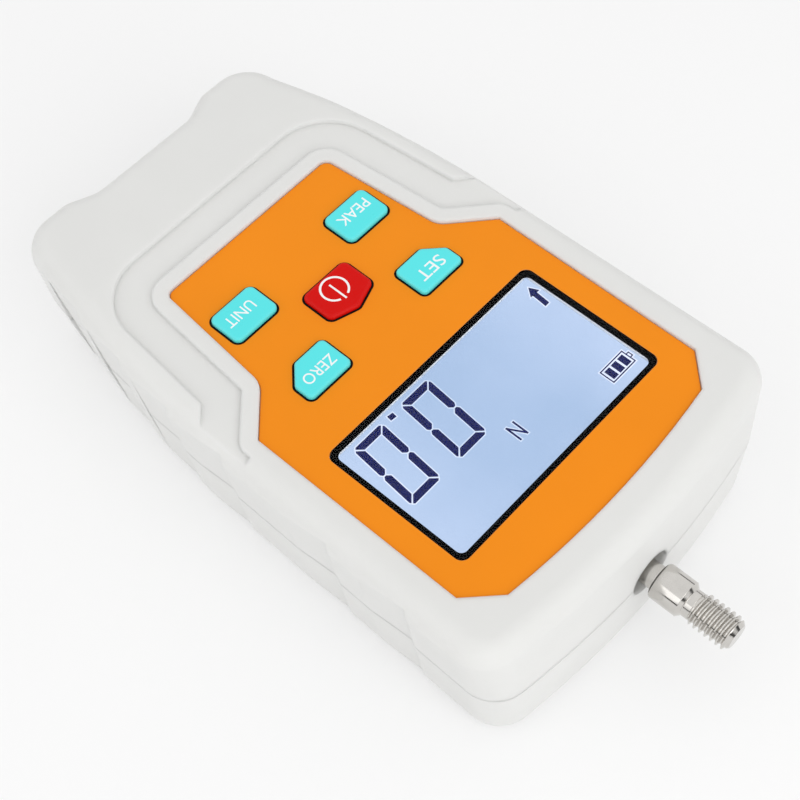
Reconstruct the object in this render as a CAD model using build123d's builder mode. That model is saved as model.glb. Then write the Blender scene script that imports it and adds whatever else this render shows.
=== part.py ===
# Handheld digital force gauge with a threaded measuring shaft.
# Millimetres. +X runs to the reader's right, +Y along the body towards the measuring shaft and
# +Z out of the display face. The origin is under the middle of the overall length and width,
# on the flat back that the gauge rests on.
from math import cos, sin, sqrt
import os

from build123d import *

os.makedirs("parts", exist_ok=True)

# ---------------------------------------------------------------- overall size
body_length = 116.5  # front face of the housing to the tips of its rear horns
stud_reach = 16.6  # how far the stud stands out of the front face
rim_height = 30.5  # back face to the raised rim around the face panel
parting_height = 14.7  # the seam of the two covers, which is also the shaft's height

front_y = (body_length + stud_reach) / 2 - stud_reach
rear_y = front_y - body_length

# ---------------------------------------------------------------- housing outline
head_half_width = 36.05  # across the display end, at its front
waist_half_width = 34.95  # where the grip begins
waist_back = 64.5  # front face to the start of the grip's curve
grip_back = 86.0  # front face to the middle of the grip's curve
tail_half_width = 28.9  # end of the grip's curve
tail_back = 108.5
grip_bulge = 1.18  # how far the grip's curve swells beyond a straight line
horn_half_width = 27.9  # the two rounded horns at the rear end
horn_inner_half = 16.2
notch_half_width = 11.0  # the shallow notch between the horns
notch_depth = 2.4
front_arc_radius = 180.0
front_corner_radius = 6.5
horn_outer_radius = 7.6
horn_inner_radius = 5.0

seam_side_inset = 1.75  # how far the sides lean in from the rim to the seam
back_side_inset = 3.3  # and from the rim to the back
rim_front_inset = 1.1  # the front face leans back above the seam
back_front_inset = 0.1  # and below it
back_end_inset = 1.2
back_tail_inset = 1.2  # how much more the back narrows at the tail
top_edge_radius = 3.6
back_edge_radius = 3.0
tail_fall = 1.0  # how far the shoulder behind the channel falls towards the rear
wall = 2.2
face_wall = 2.2  # floor of the panel recess to the ceiling inside
seam_groove_width = 0.16  # the fine line where the two covers meet
seam_groove_depth = 0.25
near = 0.1  # how close a corner has to be to count as being at a named place

# ---------------------------------------------------------------- face panel
panel_front_gap = 8.5  # front face to the middle of the panel's curved front edge
panel_arc_radius = 182.0
panel_length = 78.9
panel_half_width = 29.0
panel_chamfer_x = 5.35  # chamfered front corners
panel_chamfer_y = 5.3
panel_neck_half = 21.2  # where the panel narrows behind the display
panel_tail_half = 19.1
panel_shoulder_back = 47.7  # panel front to the end of its wide part
panel_neck_back = 54.9
panel_neck_radius = 4.0
panel_tail_radius = 1.6
panel_thickness = 0.5
panel_recess = 1.0  # rim to the floor that the panel is stuck on
panel_clearance = 0.1
panel_edge = 0.15  # chamfer round the panel's top
rim_width = 3.0
channel_width = 6.3
channel_depth = 0.8
channel_end_back = 55.0  # front face to where the channel runs out over the sides

# ---------------------------------------------------------------- display
display_back = 9.8  # panel front to the display frame
display_width = 48.3
display_length = 28.2
display_corner = 1.6
display_frame_width = 1.1
display_frame_thickness = 0.2
lcd_overlap = 2.6  # how far the liquid crystal cell runs under the frame, each side
lcd_thickness = 1.8
lcd_cover = 0.8  # housing wall left over the liquid crystal cell
backlight_thickness = 3.4
backlight_inset = 0.9
holder_wall = 1.5
fit_clearance = 0.15

# ---------------------------------------------------------------- keys
key_width = 9.6
key_length = 6.9
key_half_pitch = 13.5  # the two key columns stand this far from the middle line
rear_key_back = 66.3  # panel front to the centre of the rear pair
front_key_back = 49.9  # and of the pair next to the display
key_corner = 1.2
front_key_chamfer = 3.2
front_key_corner = 0.96
power_key_back = 58.1
power_key_width = 10.2
power_key_length = 6.6
power_key_tip = 1.7
key_proud = 0.8  # key tops above the panel
key_clearance = 0.3
key_flange = 1.0
key_flange_thickness = 1.0
key_edge_radius = 0.45
key_travel = 0.8
key_stem_width = 5.0
key_stem_length = 3.0

# ---------------------------------------------------------------- boards
board_thickness = 1.6
board_drop = 4.2  # ceiling to the top of the main board
board_head_half = 27.6
board_tail_half = 21.5
board_tab_half = 18.0
board_tab_length = 6.0
board_head_length = 40.0
board_tail_length = 30.5
board_front_gap = 9.0  # front face to the board
keypad_thickness = 0.8
keypad_half_width = 20.0
keypad_length = 26.0
keypad_back = 45.0  # panel front to the keypad
stem_clearance = 0.5

# ---------------------------------------------------------------- measuring line
rod_diameter = 4.4
collar_diameter = 6.5
collar_gap = 1.6  # front face to the collar
collar_length = 5.9
collar_chamfer = 0.6
neck_diameter = 5.0
neck_length = 1.4
stud_diameter = 6.0
stud_chamfer = 0.9
shaft_hole_diameter = 8.5
rod_in_collar = 4.6
rod_in_cell = 6.0
cell_front_gap = 8.5  # front face to the load cell
cell_length = 28.0
cell_width = 34.0
cell_thickness = 6.8
cell_slot = 1.2
cell_slot_length = 28.0
cell_slot_inset = 8.0
cell_hole_diameter = 6.0
thread_clearance = 0.03
measuring_travel = 0.25
gauge_pad_length = 4.0
gauge_pad_width = 3.0
gauge_pad_thickness = 0.3

bracket_width = 28.0
bracket_thickness = 3.0
bracket_foot = 13.0
bolt_diameter = 5.0
bolt_engagement = 6.0
bolt_head_diameter = 8.5
bolt_head_height = 5.0
bracket_screw_diameter = 3.0
bracket_screw_pitch_x = 20.0
bracket_screw_pitch_y = 6.0
bracket_screw_head = 5.4
bracket_screw_length = 5.0
bracket_plinth = 2.0

# ---------------------------------------------------------------- power
cell_pack_diameter = 14.0
cell_pack_length = 48.0
cell_pack_rear_gap = 14.2  # rear horns to the battery cells
cradle_wall = 1.0
jack_height = 9.6
jack_body_width = 8.0
jack_body_length = 5.6
jack_body_height = 7.0
jack_nose_radius = 2.9
jack_bore_radius = 1.8
jack_bore_depth = 5.5
jack_pin_radius = 0.65

# ---------------------------------------------------------------- fasteners and inserts
cover_screw_diameter = 3.0
cover_screw_head = 5.6
cover_screw_head_height = 2.0
cover_screw_sink = 2.4  # screw heads below the back face
cover_screw_length = 20.0
cross_slot_length = 3.4
cross_slot_width = 0.75
cross_slot_depth = 1.0
cover_post_radius = 4.0
front_post_x = 24.0
front_post_back = 9.6
rear_post_x = 20.4
rear_post_back = 97.0
insert_radius = 2.9
insert_bore_radius = 1.65
insert_length = 6.0
insert_boss_radius = 4.6
insert_boss_height = 8.0
insert_pitch_x = 44.0
insert_pitch_y = 25.0
insert_middle_back = 35.0
board_screw_diameter = 2.2
board_screw_head = 4.0
board_screw_head_height = 1.4
board_screw_length = 5.0
board_post_radius = 2.3
board_post_inset = 3.2
board_post_front_x = 14.0

# ---------------------------------------------------------------- side grips
gill_depth = 0.9  # at the foot of each gill
gill_top_depth = 0.6
gill_width = 9.0
gill_ridge = 0.5
gill_lean = 1.2  # how far each gill runs forward from its top to its foot
gill_low = -0.5
gill_high = 30.0
gill_relief = 2.0  # how far the cutters stand outside the walls
grip_gills_back = (97.6, 85.2, 72.8, 59.9)  # front face to the top of each gill
head_gills_back = (36.8, 20.6)

# ---------------------------------------------------------------- derived places
grip_half_width = grip_bulge + (
    waist_half_width * (tail_back - grip_back) + tail_half_width * (grip_back - waist_back)
) / (tail_back - waist_back)
panel_front_y = front_y - panel_front_gap
panel_rear_y = panel_front_y - panel_length
display_front_y = panel_front_y - display_back
display_y = display_front_y - display_length / 2
panel_floor = rim_height - panel_recess
panel_top = panel_floor + panel_thickness
ceiling_height = panel_floor - face_wall
board_top = ceiling_height - board_drop
window_width = display_width - 2 * display_frame_width
window_length = display_length - 2 * display_frame_width
lcd_top = panel_floor - lcd_cover
lcd_bottom = lcd_top - lcd_thickness
lcd_width = window_width + 2 * lcd_overlap
lcd_length = window_length + 2 * lcd_overlap
backlight_bottom = lcd_bottom - backlight_thickness
holder_width = lcd_width + 2 * holder_wall
holder_length = lcd_length + 2 * holder_wall
flange_top = ceiling_height
flange_bottom = flange_top - key_flange_thickness
stem_bottom = board_top + key_travel + fit_clearance / 3
board_bottom = board_top - board_thickness
board_front_y = front_y - board_front_gap
rear_keys_y = panel_front_y - rear_key_back
front_keys_y = panel_front_y - front_key_back
power_key_y = panel_front_y - power_key_back
cell_front_y = front_y - cell_front_gap
cell_rear_y = cell_front_y - cell_length
shaft_height = parting_height
stud_tip_y = front_y + stud_reach
collar_rear_y = front_y + collar_gap
collar_front_y = collar_rear_y + collar_length
battery_rear_y = rear_y + cell_pack_rear_gap
battery_front_y = battery_rear_y + cell_pack_length
inserts_y = front_y - insert_middle_back
notch_y = rear_y + notch_depth


def housing_outline(side_inset, front_inset, end_inset, tail_inset=0.0):
    """Plan outline of the housing, drawn in by the given insets."""
    front = front_y - front_inset
    arc_centre = front - front_arc_radius
    corner_x = head_half_width - side_inset
    corner_y = arc_centre + sqrt(front_arc_radius**2 - corner_x**2)
    rear = rear_y + end_inset
    with BuildSketch() as outline:
        with BuildLine():
            nose = ThreePointArc(
                (0, front),
                (
                    front_arc_radius * sin(corner_x / front_arc_radius / 2),
                    arc_centre + front_arc_radius * cos(corner_x / front_arc_radius / 2),
                ),
                (corner_x, corner_y),
            )
            side = Line(nose @ 1, (waist_half_width - side_inset, front_y - waist_back))
            grip = ThreePointArc(
                side @ 1,
                (grip_half_width - side_inset - tail_inset / 2, front_y - grip_back),
                (tail_half_width - side_inset - tail_inset, front_y - tail_back),
            )
            Polyline(
                grip @ 1,
                (horn_half_width - side_inset - tail_inset, rear),
                (horn_inner_half, rear),
                (notch_half_width, rear + notch_depth),
                (0, rear + notch_depth),
            )
            mirror(about=Plane.YZ)
        make_face()
        corners = outline.vertices()
        fillet(corners.filter_by(lambda v: v.Y > corner_y - near and abs(v.X) > near), front_corner_radius)
        corners = outline.vertices()
        fillet(
            corners.filter_by(lambda v: v.Y < rear + near and abs(v.X) > horn_inner_half + near),
            horn_outer_radius - (side_inset + tail_inset) / 2,
        )
        corners = outline.vertices()
        fillet(
            corners.filter_by(lambda v: abs(abs(v.X) - horn_inner_half) < near and v.Y < rear + near),
            horn_inner_radius,
        )
        corners = outline.vertices()
        fillet(
            corners.filter_by(
                lambda v: abs(abs(v.X) - notch_half_width) < near and v.Y < rear + notch_depth + near
            ),
            horn_inner_radius,
        )
    return outline.sketch


def panel_outline():
    """Shield-shaped outline of the face panel."""
    arc_centre = panel_front_y - panel_arc_radius
    cut_x = panel_half_width - panel_chamfer_x
    cut_y = arc_centre + sqrt(panel_arc_radius**2 - cut_x**2)
    with BuildSketch() as outline:
        with BuildLine():
            front_edge = ThreePointArc((-cut_x, cut_y), (0, panel_front_y), (cut_x, cut_y))
            Polyline(
                front_edge @ 1,
                (panel_half_width, cut_y - panel_chamfer_y),
                (panel_half_width, panel_front_y - panel_shoulder_back),
                (panel_neck_half, panel_front_y - panel_neck_back),
                (panel_tail_half, panel_rear_y),
                (-panel_tail_half, panel_rear_y),
                (-panel_neck_half, panel_front_y - panel_neck_back),
                (-panel_half_width, panel_front_y - panel_shoulder_back),
                (-panel_half_width, cut_y - panel_chamfer_y),
                front_edge @ 0,
            )
        make_face()
        corners = outline.vertices()
        fillet(corners.filter_by(lambda v: abs(abs(v.X) - panel_neck_half) < near), panel_neck_radius)
        corners = outline.vertices()
        fillet(corners.filter_by(lambda v: v.Y < panel_rear_y + near), panel_tail_radius)
    return outline.sketch




def rear_key_outline(side):
    """Rounded rectangle of a rear key, on the +X or -X side."""
    with BuildSketch() as outline:
        with Locations((side * key_half_pitch, rear_keys_y)):
            RectangleRounded(key_width, key_length, key_corner)
    return outline.sketch


def front_key_outline(side):
    """Key next to the display, with its outer rear corner cut off."""
    inner = side * (key_half_pitch - key_width / 2)
    outer = side * (key_half_pitch + key_width / 2)
    front = front_keys_y + key_length / 2
    rear = front_keys_y - key_length / 2
    with BuildSketch() as outline:
        with BuildLine():
            Polyline(
                (inner, front),
                (outer, front),
                (outer, rear + front_key_chamfer),
                (outer - side * front_key_chamfer, rear),
                (inner, rear),
                close=True,
            )
        make_face()
        fillet(outline.vertices(), front_key_corner)
    return outline.sketch


def power_key_outline():
    """Five-sided power key that points at the display."""
    front = power_key_y + power_key_length / 2
    rear = power_key_y - power_key_length / 2
    with BuildSketch() as outline:
        with BuildLine():
            Polyline(
                (-power_key_width / 2, rear),
                (power_key_width / 2, rear),
                (power_key_width / 2, front),
                (0, front + power_key_tip),
                (-power_key_width / 2, front),
                close=True,
            )
        make_face()
        fillet(outline.vertices(), key_corner)
    return outline.sketch


key_outlines = {
    "key_peak": rear_key_outline(-1),
    "key_unit": rear_key_outline(1),
    "key_set": front_key_outline(-1),
    "key_zero": front_key_outline(1),
    "key_power": power_key_outline(),
}
key_centres = {
    "key_peak": (-key_half_pitch, rear_keys_y),
    "key_unit": (key_half_pitch, rear_keys_y),
    "key_set": (-key_half_pitch, front_keys_y),
    "key_zero": (key_half_pitch, front_keys_y),
    "key_power": (0, power_key_y),
}


def rim_half_width(y):
    """Half width of the housing at rim height, along its side and the grip's curve."""
    waist = front_y - waist_back
    if y >= waist:
        return waist_half_width + (head_half_width - waist_half_width) * (y - waist) / waist_back
    grip = front_y - grip_back
    tail = front_y - tail_back
    return (
        waist_half_width * (y - grip) * (y - tail) / ((waist - grip) * (waist - tail))
        + grip_half_width * (y - waist) * (y - tail) / ((grip - waist) * (grip - tail))
        + tail_half_width * (y - waist) * (y - grip) / ((tail - waist) * (tail - grip))
    )


def side_inset_at(y, z):
    """How far the housing's side has leaned in at a place along it and a height."""
    if z >= parting_height:
        return seam_side_inset * (rim_height - z) / (rim_height - parting_height)
    share = (parting_height - z) / parting_height
    tail_share = min(max((front_y - waist_back - y) / (tail_back - waist_back), 0), 1)
    back_inset = back_side_inset + back_tail_inset * tail_share
    return seam_side_inset + (back_inset - seam_side_inset) * share


def gill_section(side, line_y, z, depth):
    """Plan section of one gill: a long wedge that ends in a short step."""
    start_y = line_y - gill_width
    crest_y = line_y + gill_ridge
    start_x = rim_half_width(start_y) - side_inset_at(start_y, z)
    line_x = rim_half_width(line_y) - side_inset_at(line_y, z) - depth
    crest_x = rim_half_width(crest_y) - side_inset_at(crest_y, z)
    with BuildSketch() as section:
        with BuildLine():
            Polyline(
                (side * (start_x + gill_relief), start_y),
                (side * start_x, start_y),
                (side * line_x, line_y),
                (side * crest_x, crest_y),
                (side * (crest_x + gill_relief), crest_y),
                close=True,
            )
        make_face()
    return section.sketch


with BuildPart() as gills:
    for gill_back in grip_gills_back + head_gills_back:
        for side in (-1, 1):
            top_y = front_y - gill_back
            with BuildSketch(Plane.XY.offset(gill_low)):
                add(gill_section(side, top_y + gill_lean, gill_low, gill_depth))
            with BuildSketch(Plane.XY.offset(gill_high)):
                add(gill_section(side, top_y, gill_high, gill_top_depth))
            loft(ruled=True)

with BuildPart() as shaft_hole:
    with BuildSketch(Plane.XZ.offset(-cell_front_y)):
        with Locations((0, shaft_height)):
            Circle(shaft_hole_diameter / 2)
    extrude(amount=-2 * cell_front_gap)

with BuildPart() as seam_groove:
    with BuildSketch(Plane.XY.offset(parting_height - seam_groove_width / 2)):
        add(housing_outline(seam_side_inset, 0, 0))
        offset(amount=gill_relief, mode=Mode.REPLACE)
        with BuildSketch(mode=Mode.PRIVATE) as groove_floor:
            add(housing_outline(seam_side_inset, 0, 0))
            offset(amount=-seam_groove_depth, mode=Mode.REPLACE)
        add(groove_floor.sketch, mode=Mode.SUBTRACT)
    extrude(amount=seam_groove_width)

front_posts = [(x, front_y - front_post_back) for x in (-front_post_x, front_post_x)]
rear_posts = [(x, front_y - rear_post_back) for x in (-rear_post_x, rear_post_x)]
cover_posts = front_posts + rear_posts

board_tab_y = board_front_y - board_tab_length
board_waist_y = board_tab_y - board_head_length
board_rear_y = board_waist_y - board_tail_length
board_posts = [
    (board_post_front_x, board_front_y - board_post_inset),
    (-board_post_front_x, board_front_y - board_post_inset),
    (board_tail_half - board_post_inset, board_rear_y + board_post_inset),
    (board_post_inset - board_tail_half, board_rear_y + board_post_inset),
]

# ---------------------------------------------------------------- front cover
shoulder_y = panel_rear_y - rim_width - channel_width

with BuildPart() as front_cover:
    with BuildSketch(Plane.XY.offset(parting_height)):
        add(housing_outline(seam_side_inset, 0, 0))
    with BuildSketch(Plane.XY.offset(rim_height)):
        add(housing_outline(0, rim_front_inset, 0))
    loft(ruled=True)
    # the shoulder behind the channel falls away towards the rear end
    with BuildSketch(Plane.YZ):
        with BuildLine():
            Polyline(
                (shoulder_y, rim_height),
                (rear_y - wall, rim_height - tail_fall),
                (rear_y - wall, rim_height + wall),
                (shoulder_y, rim_height + wall),
                close=True,
            )
        make_face()
    extrude(amount=body_length, both=True, mode=Mode.SUBTRACT)
    top_edges = front_cover.edges().filter_by(
        lambda e: e.bounding_box().min.Z > rim_height - tail_fall - wall / 10
    )
    crease = top_edges.filter_by(Axis.X).filter_by(lambda e: abs(e.center().Y - shoulder_y) < wall / 10)
    fillet(top_edges - crease, top_edge_radius)
    # inside
    with BuildSketch(Plane.XY.offset(parting_height)):
        add(housing_outline(seam_side_inset, rim_front_inset, 0))
        offset(amount=-wall, mode=Mode.REPLACE)
    extrude(amount=ceiling_height - parting_height, mode=Mode.SUBTRACT)
    # posts for the cover screws and the main board
    with BuildSketch(Plane.XY.offset(parting_height)):
        with Locations(*cover_posts):
            Circle(cover_post_radius)
    extrude(amount=ceiling_height - parting_height)
    with BuildSketch(Plane.XY.offset(board_top)):
        with Locations(*board_posts):
            Circle(board_post_radius)
    extrude(amount=ceiling_height - board_top)
    with BuildSketch(Plane.XY.offset(parting_height)):
        with Locations(*cover_posts):
            Circle(cover_screw_diameter / 2 + thread_clearance)
    extrude(amount=cover_screw_sink + cover_screw_length - parting_height + wall / 2, mode=Mode.SUBTRACT)
    with BuildSketch(Plane.XY.offset(board_top)):
        with Locations(*board_posts):
            Circle(board_screw_diameter / 2 + thread_clearance)
    extrude(amount=board_screw_length, mode=Mode.SUBTRACT)
    # channel that runs round the grip end and out over the sides
    with BuildSketch(Plane.XY.offset(rim_height - channel_depth)):
        add(panel_outline())
        offset(amount=rim_width + channel_width, mode=Mode.REPLACE)
        with BuildSketch(mode=Mode.PRIVATE) as rim:
            add(panel_outline())
            offset(amount=rim_width, mode=Mode.REPLACE)
        add(rim.sketch, mode=Mode.SUBTRACT)
        with Locations((0, front_y - channel_end_back)):
            Rectangle(4 * head_half_width, body_length, align=(Align.CENTER, Align.MIN), mode=Mode.SUBTRACT)
    extrude(amount=2 * channel_depth, mode=Mode.SUBTRACT)
    # recess for the face panel, display opening and key holes
    with BuildSketch(Plane.XY.offset(panel_floor)):
        add(panel_outline())
        offset(amount=panel_clearance, mode=Mode.REPLACE)
    extrude(amount=2 * panel_recess, mode=Mode.SUBTRACT)
    with BuildSketch(Plane.XY.offset(lcd_top)):
        with Locations((0, display_y)):
            Rectangle(window_width, window_length)
    extrude(amount=rim_height - lcd_top, mode=Mode.SUBTRACT)
    with BuildSketch(Plane.XY.offset(ceiling_height)):
        with Locations((0, display_y)):
            Rectangle(lcd_width + 2 * fit_clearance, lcd_length + 2 * fit_clearance)
    extrude(amount=lcd_top - ceiling_height, mode=Mode.SUBTRACT)
    for outline in key_outlines.values():
        with BuildSketch(Plane.XY.offset(ceiling_height)):
            add(outline)
            offset(amount=key_clearance, mode=Mode.REPLACE)
        extrude(amount=rim_height - ceiling_height, mode=Mode.SUBTRACT)
    add(seam_groove.part, mode=Mode.SUBTRACT)
    add(shaft_hole.part, mode=Mode.SUBTRACT)
    add(gills.part, mode=Mode.SUBTRACT)
front_cover.part.label = "front_cover"
export_step(front_cover.part, "parts/front_cover.step")

# ---------------------------------------------------------------- back cover
notch_wall_y = notch_y + back_end_inset + wall
bracket_foot_rear_y = cell_rear_y - bracket_thickness - bracket_foot
bracket_screw_places = [
    (x, bracket_foot_rear_y + bracket_foot / 2 + y)
    for x in (-bracket_screw_pitch_x / 2, bracket_screw_pitch_x / 2)
    for y in (-bracket_screw_pitch_y / 2, bracket_screw_pitch_y / 2)
]
foot_bottom = wall + bracket_plinth
foot_top = foot_bottom + bracket_thickness

with BuildPart() as back_cover:
    with BuildSketch(Plane.XY):
        add(housing_outline(back_side_inset, back_front_inset, back_end_inset, back_tail_inset))
    with BuildSketch(Plane.XY.offset(parting_height)):
        add(housing_outline(seam_side_inset, 0, 0))
    loft(ruled=True)
    fillet(back_cover.faces().sort_by(Axis.Z)[0].edges(), back_edge_radius)
    with BuildSketch(Plane.XY.offset(wall)):
        add(housing_outline(back_side_inset, back_front_inset, back_end_inset, back_tail_inset))
        offset(amount=-wall, mode=Mode.REPLACE)
    extrude(amount=parting_height, mode=Mode.SUBTRACT)
    # screw posts, insert bosses and the bracket's plinth
    with BuildSketch(Plane.XY.offset(wall / 2)):
        with Locations(*cover_posts):
            Circle(cover_post_radius)
    extrude(amount=parting_height - wall / 2)
    with BuildSketch(Plane.XY.offset(wall / 2)):
        with Locations((0, inserts_y)):
            with GridLocations(insert_pitch_x, insert_pitch_y, 2, 2):
                Circle(insert_boss_radius)
    extrude(amount=insert_boss_height - wall / 2)
    with BuildSketch(Plane.XY.offset(wall / 2)):
        with Locations((0, bracket_foot_rear_y)):
            Rectangle(bracket_width, bracket_foot, align=(Align.CENTER, Align.MIN))
    extrude(amount=foot_bottom - wall / 2)
    # holes
    with BuildSketch(Plane.XY):
        with Locations((0, inserts_y)):
            with GridLocations(insert_pitch_x, insert_pitch_y, 2, 2):
                Circle(insert_radius + thread_clearance)
    extrude(amount=insert_length + thread_clearance, mode=Mode.SUBTRACT)
    with BuildSketch(Plane.XY):
        with Locations(*cover_posts):
            Circle(cover_screw_head / 2 + fit_clearance)
    extrude(amount=cover_screw_sink, mode=Mode.SUBTRACT)
    with BuildSketch(Plane.XY):
        with Locations(*cover_posts):
            Circle(cover_screw_diameter / 2 + fit_clearance)
    extrude(amount=parting_height, mode=Mode.SUBTRACT)
    with BuildSketch(Plane.XY.offset(foot_top - bracket_screw_length - bracket_thickness / 10)):
        with Locations(*bracket_screw_places):
            Circle(bracket_screw_diameter / 2 + thread_clearance)
    extrude(amount=foot_top, mode=Mode.SUBTRACT)
    with BuildSketch(Plane.XZ.offset(-notch_wall_y - wall)):
        with Locations((0, jack_height)):
            Circle(jack_nose_radius + fit_clearance)
    extrude(amount=4 * wall, mode=Mode.SUBTRACT)
    add(seam_groove.part, mode=Mode.SUBTRACT)
    add(shaft_hole.part, mode=Mode.SUBTRACT)
    add(gills.part, mode=Mode.SUBTRACT)
back_cover.part.label = "back_cover"
export_step(back_cover.part, "parts/back_cover.step")

# ---------------------------------------------------------------- face panel and display
with BuildPart() as face_panel:
    with BuildSketch(Plane.XY.offset(panel_floor)):
        add(panel_outline())
        with Locations((0, display_y)):
            RectangleRounded(display_width, display_length, display_corner, mode=Mode.SUBTRACT)
    extrude(amount=panel_thickness)
    chamfer(face_panel.faces().sort_by(Axis.Z)[-1].outer_wire().edges(), panel_edge)
    for outline in key_outlines.values():
        with BuildSketch(Plane.XY.offset(panel_floor)):
            add(outline)
            offset(amount=key_clearance, mode=Mode.REPLACE)
        extrude(amount=panel_thickness, mode=Mode.SUBTRACT)
face_panel.part.label = "face_panel"
export_step(face_panel.part, "parts/face_panel.step")

with BuildPart() as display_frame:
    with BuildSketch(Plane.XY.offset(panel_floor)):
        with Locations((0, display_y)):
            RectangleRounded(
                display_width - panel_clearance, display_length - panel_clearance, display_corner
            )
            Rectangle(window_width, window_length, mode=Mode.SUBTRACT)
    extrude(amount=display_frame_thickness)
display_frame.part.label = "display_frame"
export_step(display_frame.part, "parts/display_frame.step")

with BuildPart() as display_window:
    with BuildSketch(Plane.XY.offset(panel_floor + display_frame_thickness)):
        with Locations((0, display_y)):
            RectangleRounded(
                display_width - panel_clearance, display_length - panel_clearance, display_corner
            )
    extrude(amount=panel_thickness - display_frame_thickness)
display_window.part.label = "display_window"
export_step(display_window.part, "parts/display_window.step")

with BuildPart() as lcd_cell:
    with BuildSketch(Plane.XY.offset(lcd_bottom)):
        with Locations((0, display_y)):
            Rectangle(lcd_width, lcd_length)
    extrude(amount=lcd_thickness)
lcd_cell.part.label = "lcd_cell"
export_step(lcd_cell.part, "parts/lcd_cell.step")

with BuildPart() as lcd_backlight:
    with BuildSketch(Plane.XY.offset(backlight_bottom)):
        with Locations((0, display_y)):
            Rectangle(lcd_width - 2 * backlight_inset, lcd_length - 2 * backlight_inset)
    extrude(amount=backlight_thickness)
    chamfer(lcd_backlight.faces().sort_by(Axis.Z)[0].edges(), backlight_inset)
lcd_backlight.part.label = "lcd_backlight"
export_step(lcd_backlight.part, "parts/lcd_backlight.step")

with BuildPart() as lcd_holder:
    with BuildSketch(Plane.XY.offset(board_top)):
        with Locations((0, display_y)):
            RectangleRounded(holder_width, holder_length, holder_wall)
    extrude(amount=lcd_bottom - board_top)
    with BuildSketch(Plane.XY.offset(backlight_bottom)):
        with Locations((0, display_y)):
            Rectangle(
                lcd_width - 2 * backlight_inset + 2 * fit_clearance,
                lcd_length - 2 * backlight_inset + 2 * fit_clearance,
            )
    extrude(amount=lcd_bottom - backlight_bottom, mode=Mode.SUBTRACT)
    with BuildSketch(Plane.XY.offset(board_top)):
        with Locations((0, display_y)):
            with GridLocations(lcd_width / 3, 1, 2, 1):
                Rectangle(lcd_width / 3 - 2 * holder_wall, lcd_length - 6 * holder_wall)
    extrude(amount=backlight_bottom - board_top, mode=Mode.SUBTRACT)
lcd_holder.part.label = "lcd_holder"
export_step(lcd_holder.part, "parts/lcd_holder.step")

# ---------------------------------------------------------------- keys and keypad
for key_name, outline in key_outlines.items():
    with BuildPart() as key:
        with BuildSketch(Plane.XY.offset(flange_top)):
            add(outline)
        extrude(amount=panel_top + key_proud - flange_top)
        fillet(key.faces().sort_by(Axis.Z)[-1].edges(), key_edge_radius)
        with BuildSketch(Plane.XY.offset(flange_bottom)):
            add(outline)
            offset(amount=key_flange, mode=Mode.REPLACE)
        extrude(amount=key_flange_thickness)
        with BuildSketch(Plane.XY.offset(stem_bottom)):
            with Locations(key_centres[key_name]):
                Rectangle(key_stem_width, key_stem_length)
        extrude(amount=flange_bottom - stem_bottom)
    key.part.label = key_name
    export_step(key.part, f"parts/{key_name}.step")

keypad_front_y = panel_front_y - keypad_back
with BuildPart() as keypad:
    with BuildSketch(Plane.XY.offset(board_top)):
        with Locations((0, keypad_front_y)):
            Rectangle(2 * keypad_half_width, keypad_length, align=(Align.CENTER, Align.MAX))
        for centre in key_centres.values():
            with Locations(centre):
                Rectangle(
                    key_stem_width + 2 * stem_clearance,
                    key_stem_length + 2 * stem_clearance,
                    mode=Mode.SUBTRACT,
                )
    extrude(amount=keypad_thickness)
keypad.part.label = "keypad"
export_step(keypad.part, "parts/keypad.step")

# ---------------------------------------------------------------- main board
with BuildPart() as main_board:
    with BuildSketch(Plane.XY.offset(board_bottom)):
        with BuildLine():
            Polyline(
                (0, board_front_y),
                (board_tab_half, board_front_y),
                (board_tab_half, board_tab_y),
                (board_head_half, board_tab_y),
                (board_head_half, board_waist_y),
                (board_tail_half, board_waist_y),
                (board_tail_half, board_rear_y),
                (0, board_rear_y),
            )
            mirror(about=Plane.YZ)
        make_face()
        with Locations(*board_posts):
            Circle(board_screw_diameter / 2 + fit_clearance, mode=Mode.SUBTRACT)
    extrude(amount=board_thickness)
main_board.part.label = "main_board"
export_step(main_board.part, "parts/main_board.step")

# chips and parts on the underside: centre x, distance from the panel's front, width, length, height
board_chips = {
    "processor": (0, 73.0, 9.0, 9.0, 1.4),
    "converter": (11.0, 70.0, 5.0, 6.4, 1.4),
    "charger": (-11.5, 71.0, 4.4, 5.0, 1.2),
    "crystal": (0, 66.0, 5.0, 2.0, 1.2),
    "store": (11.5, 62.0, 4.0, 5.0, 1.2),
    "socket": (-22.0, 30.0, 4.0, 9.0, 3.2),
}
with BuildPart() as board_parts:
    for x, back, width, length, height in board_chips.values():
        with BuildSketch(Plane.XY.offset(board_bottom - height)):
            with Locations((x, panel_front_y - back)):
                Rectangle(width, length)
        extrude(amount=height)
board_parts.part.label = "board_parts"
export_step(board_parts.part, "parts/board_parts.step")

with BuildPart() as board_screws:
    with BuildSketch(Plane.XY.offset(board_bottom - board_screw_head_height)):
        with Locations(*board_posts):
            Circle(board_screw_head / 2)
    extrude(amount=board_screw_head_height)
    with BuildSketch(Plane.XY.offset(board_bottom)):
        with Locations(*board_posts):
            Circle(board_screw_diameter / 2)
    extrude(amount=board_screw_length)
board_screws.part.label = "board_screws"
export_step(board_screws.part, "parts/board_screws.step")

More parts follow.
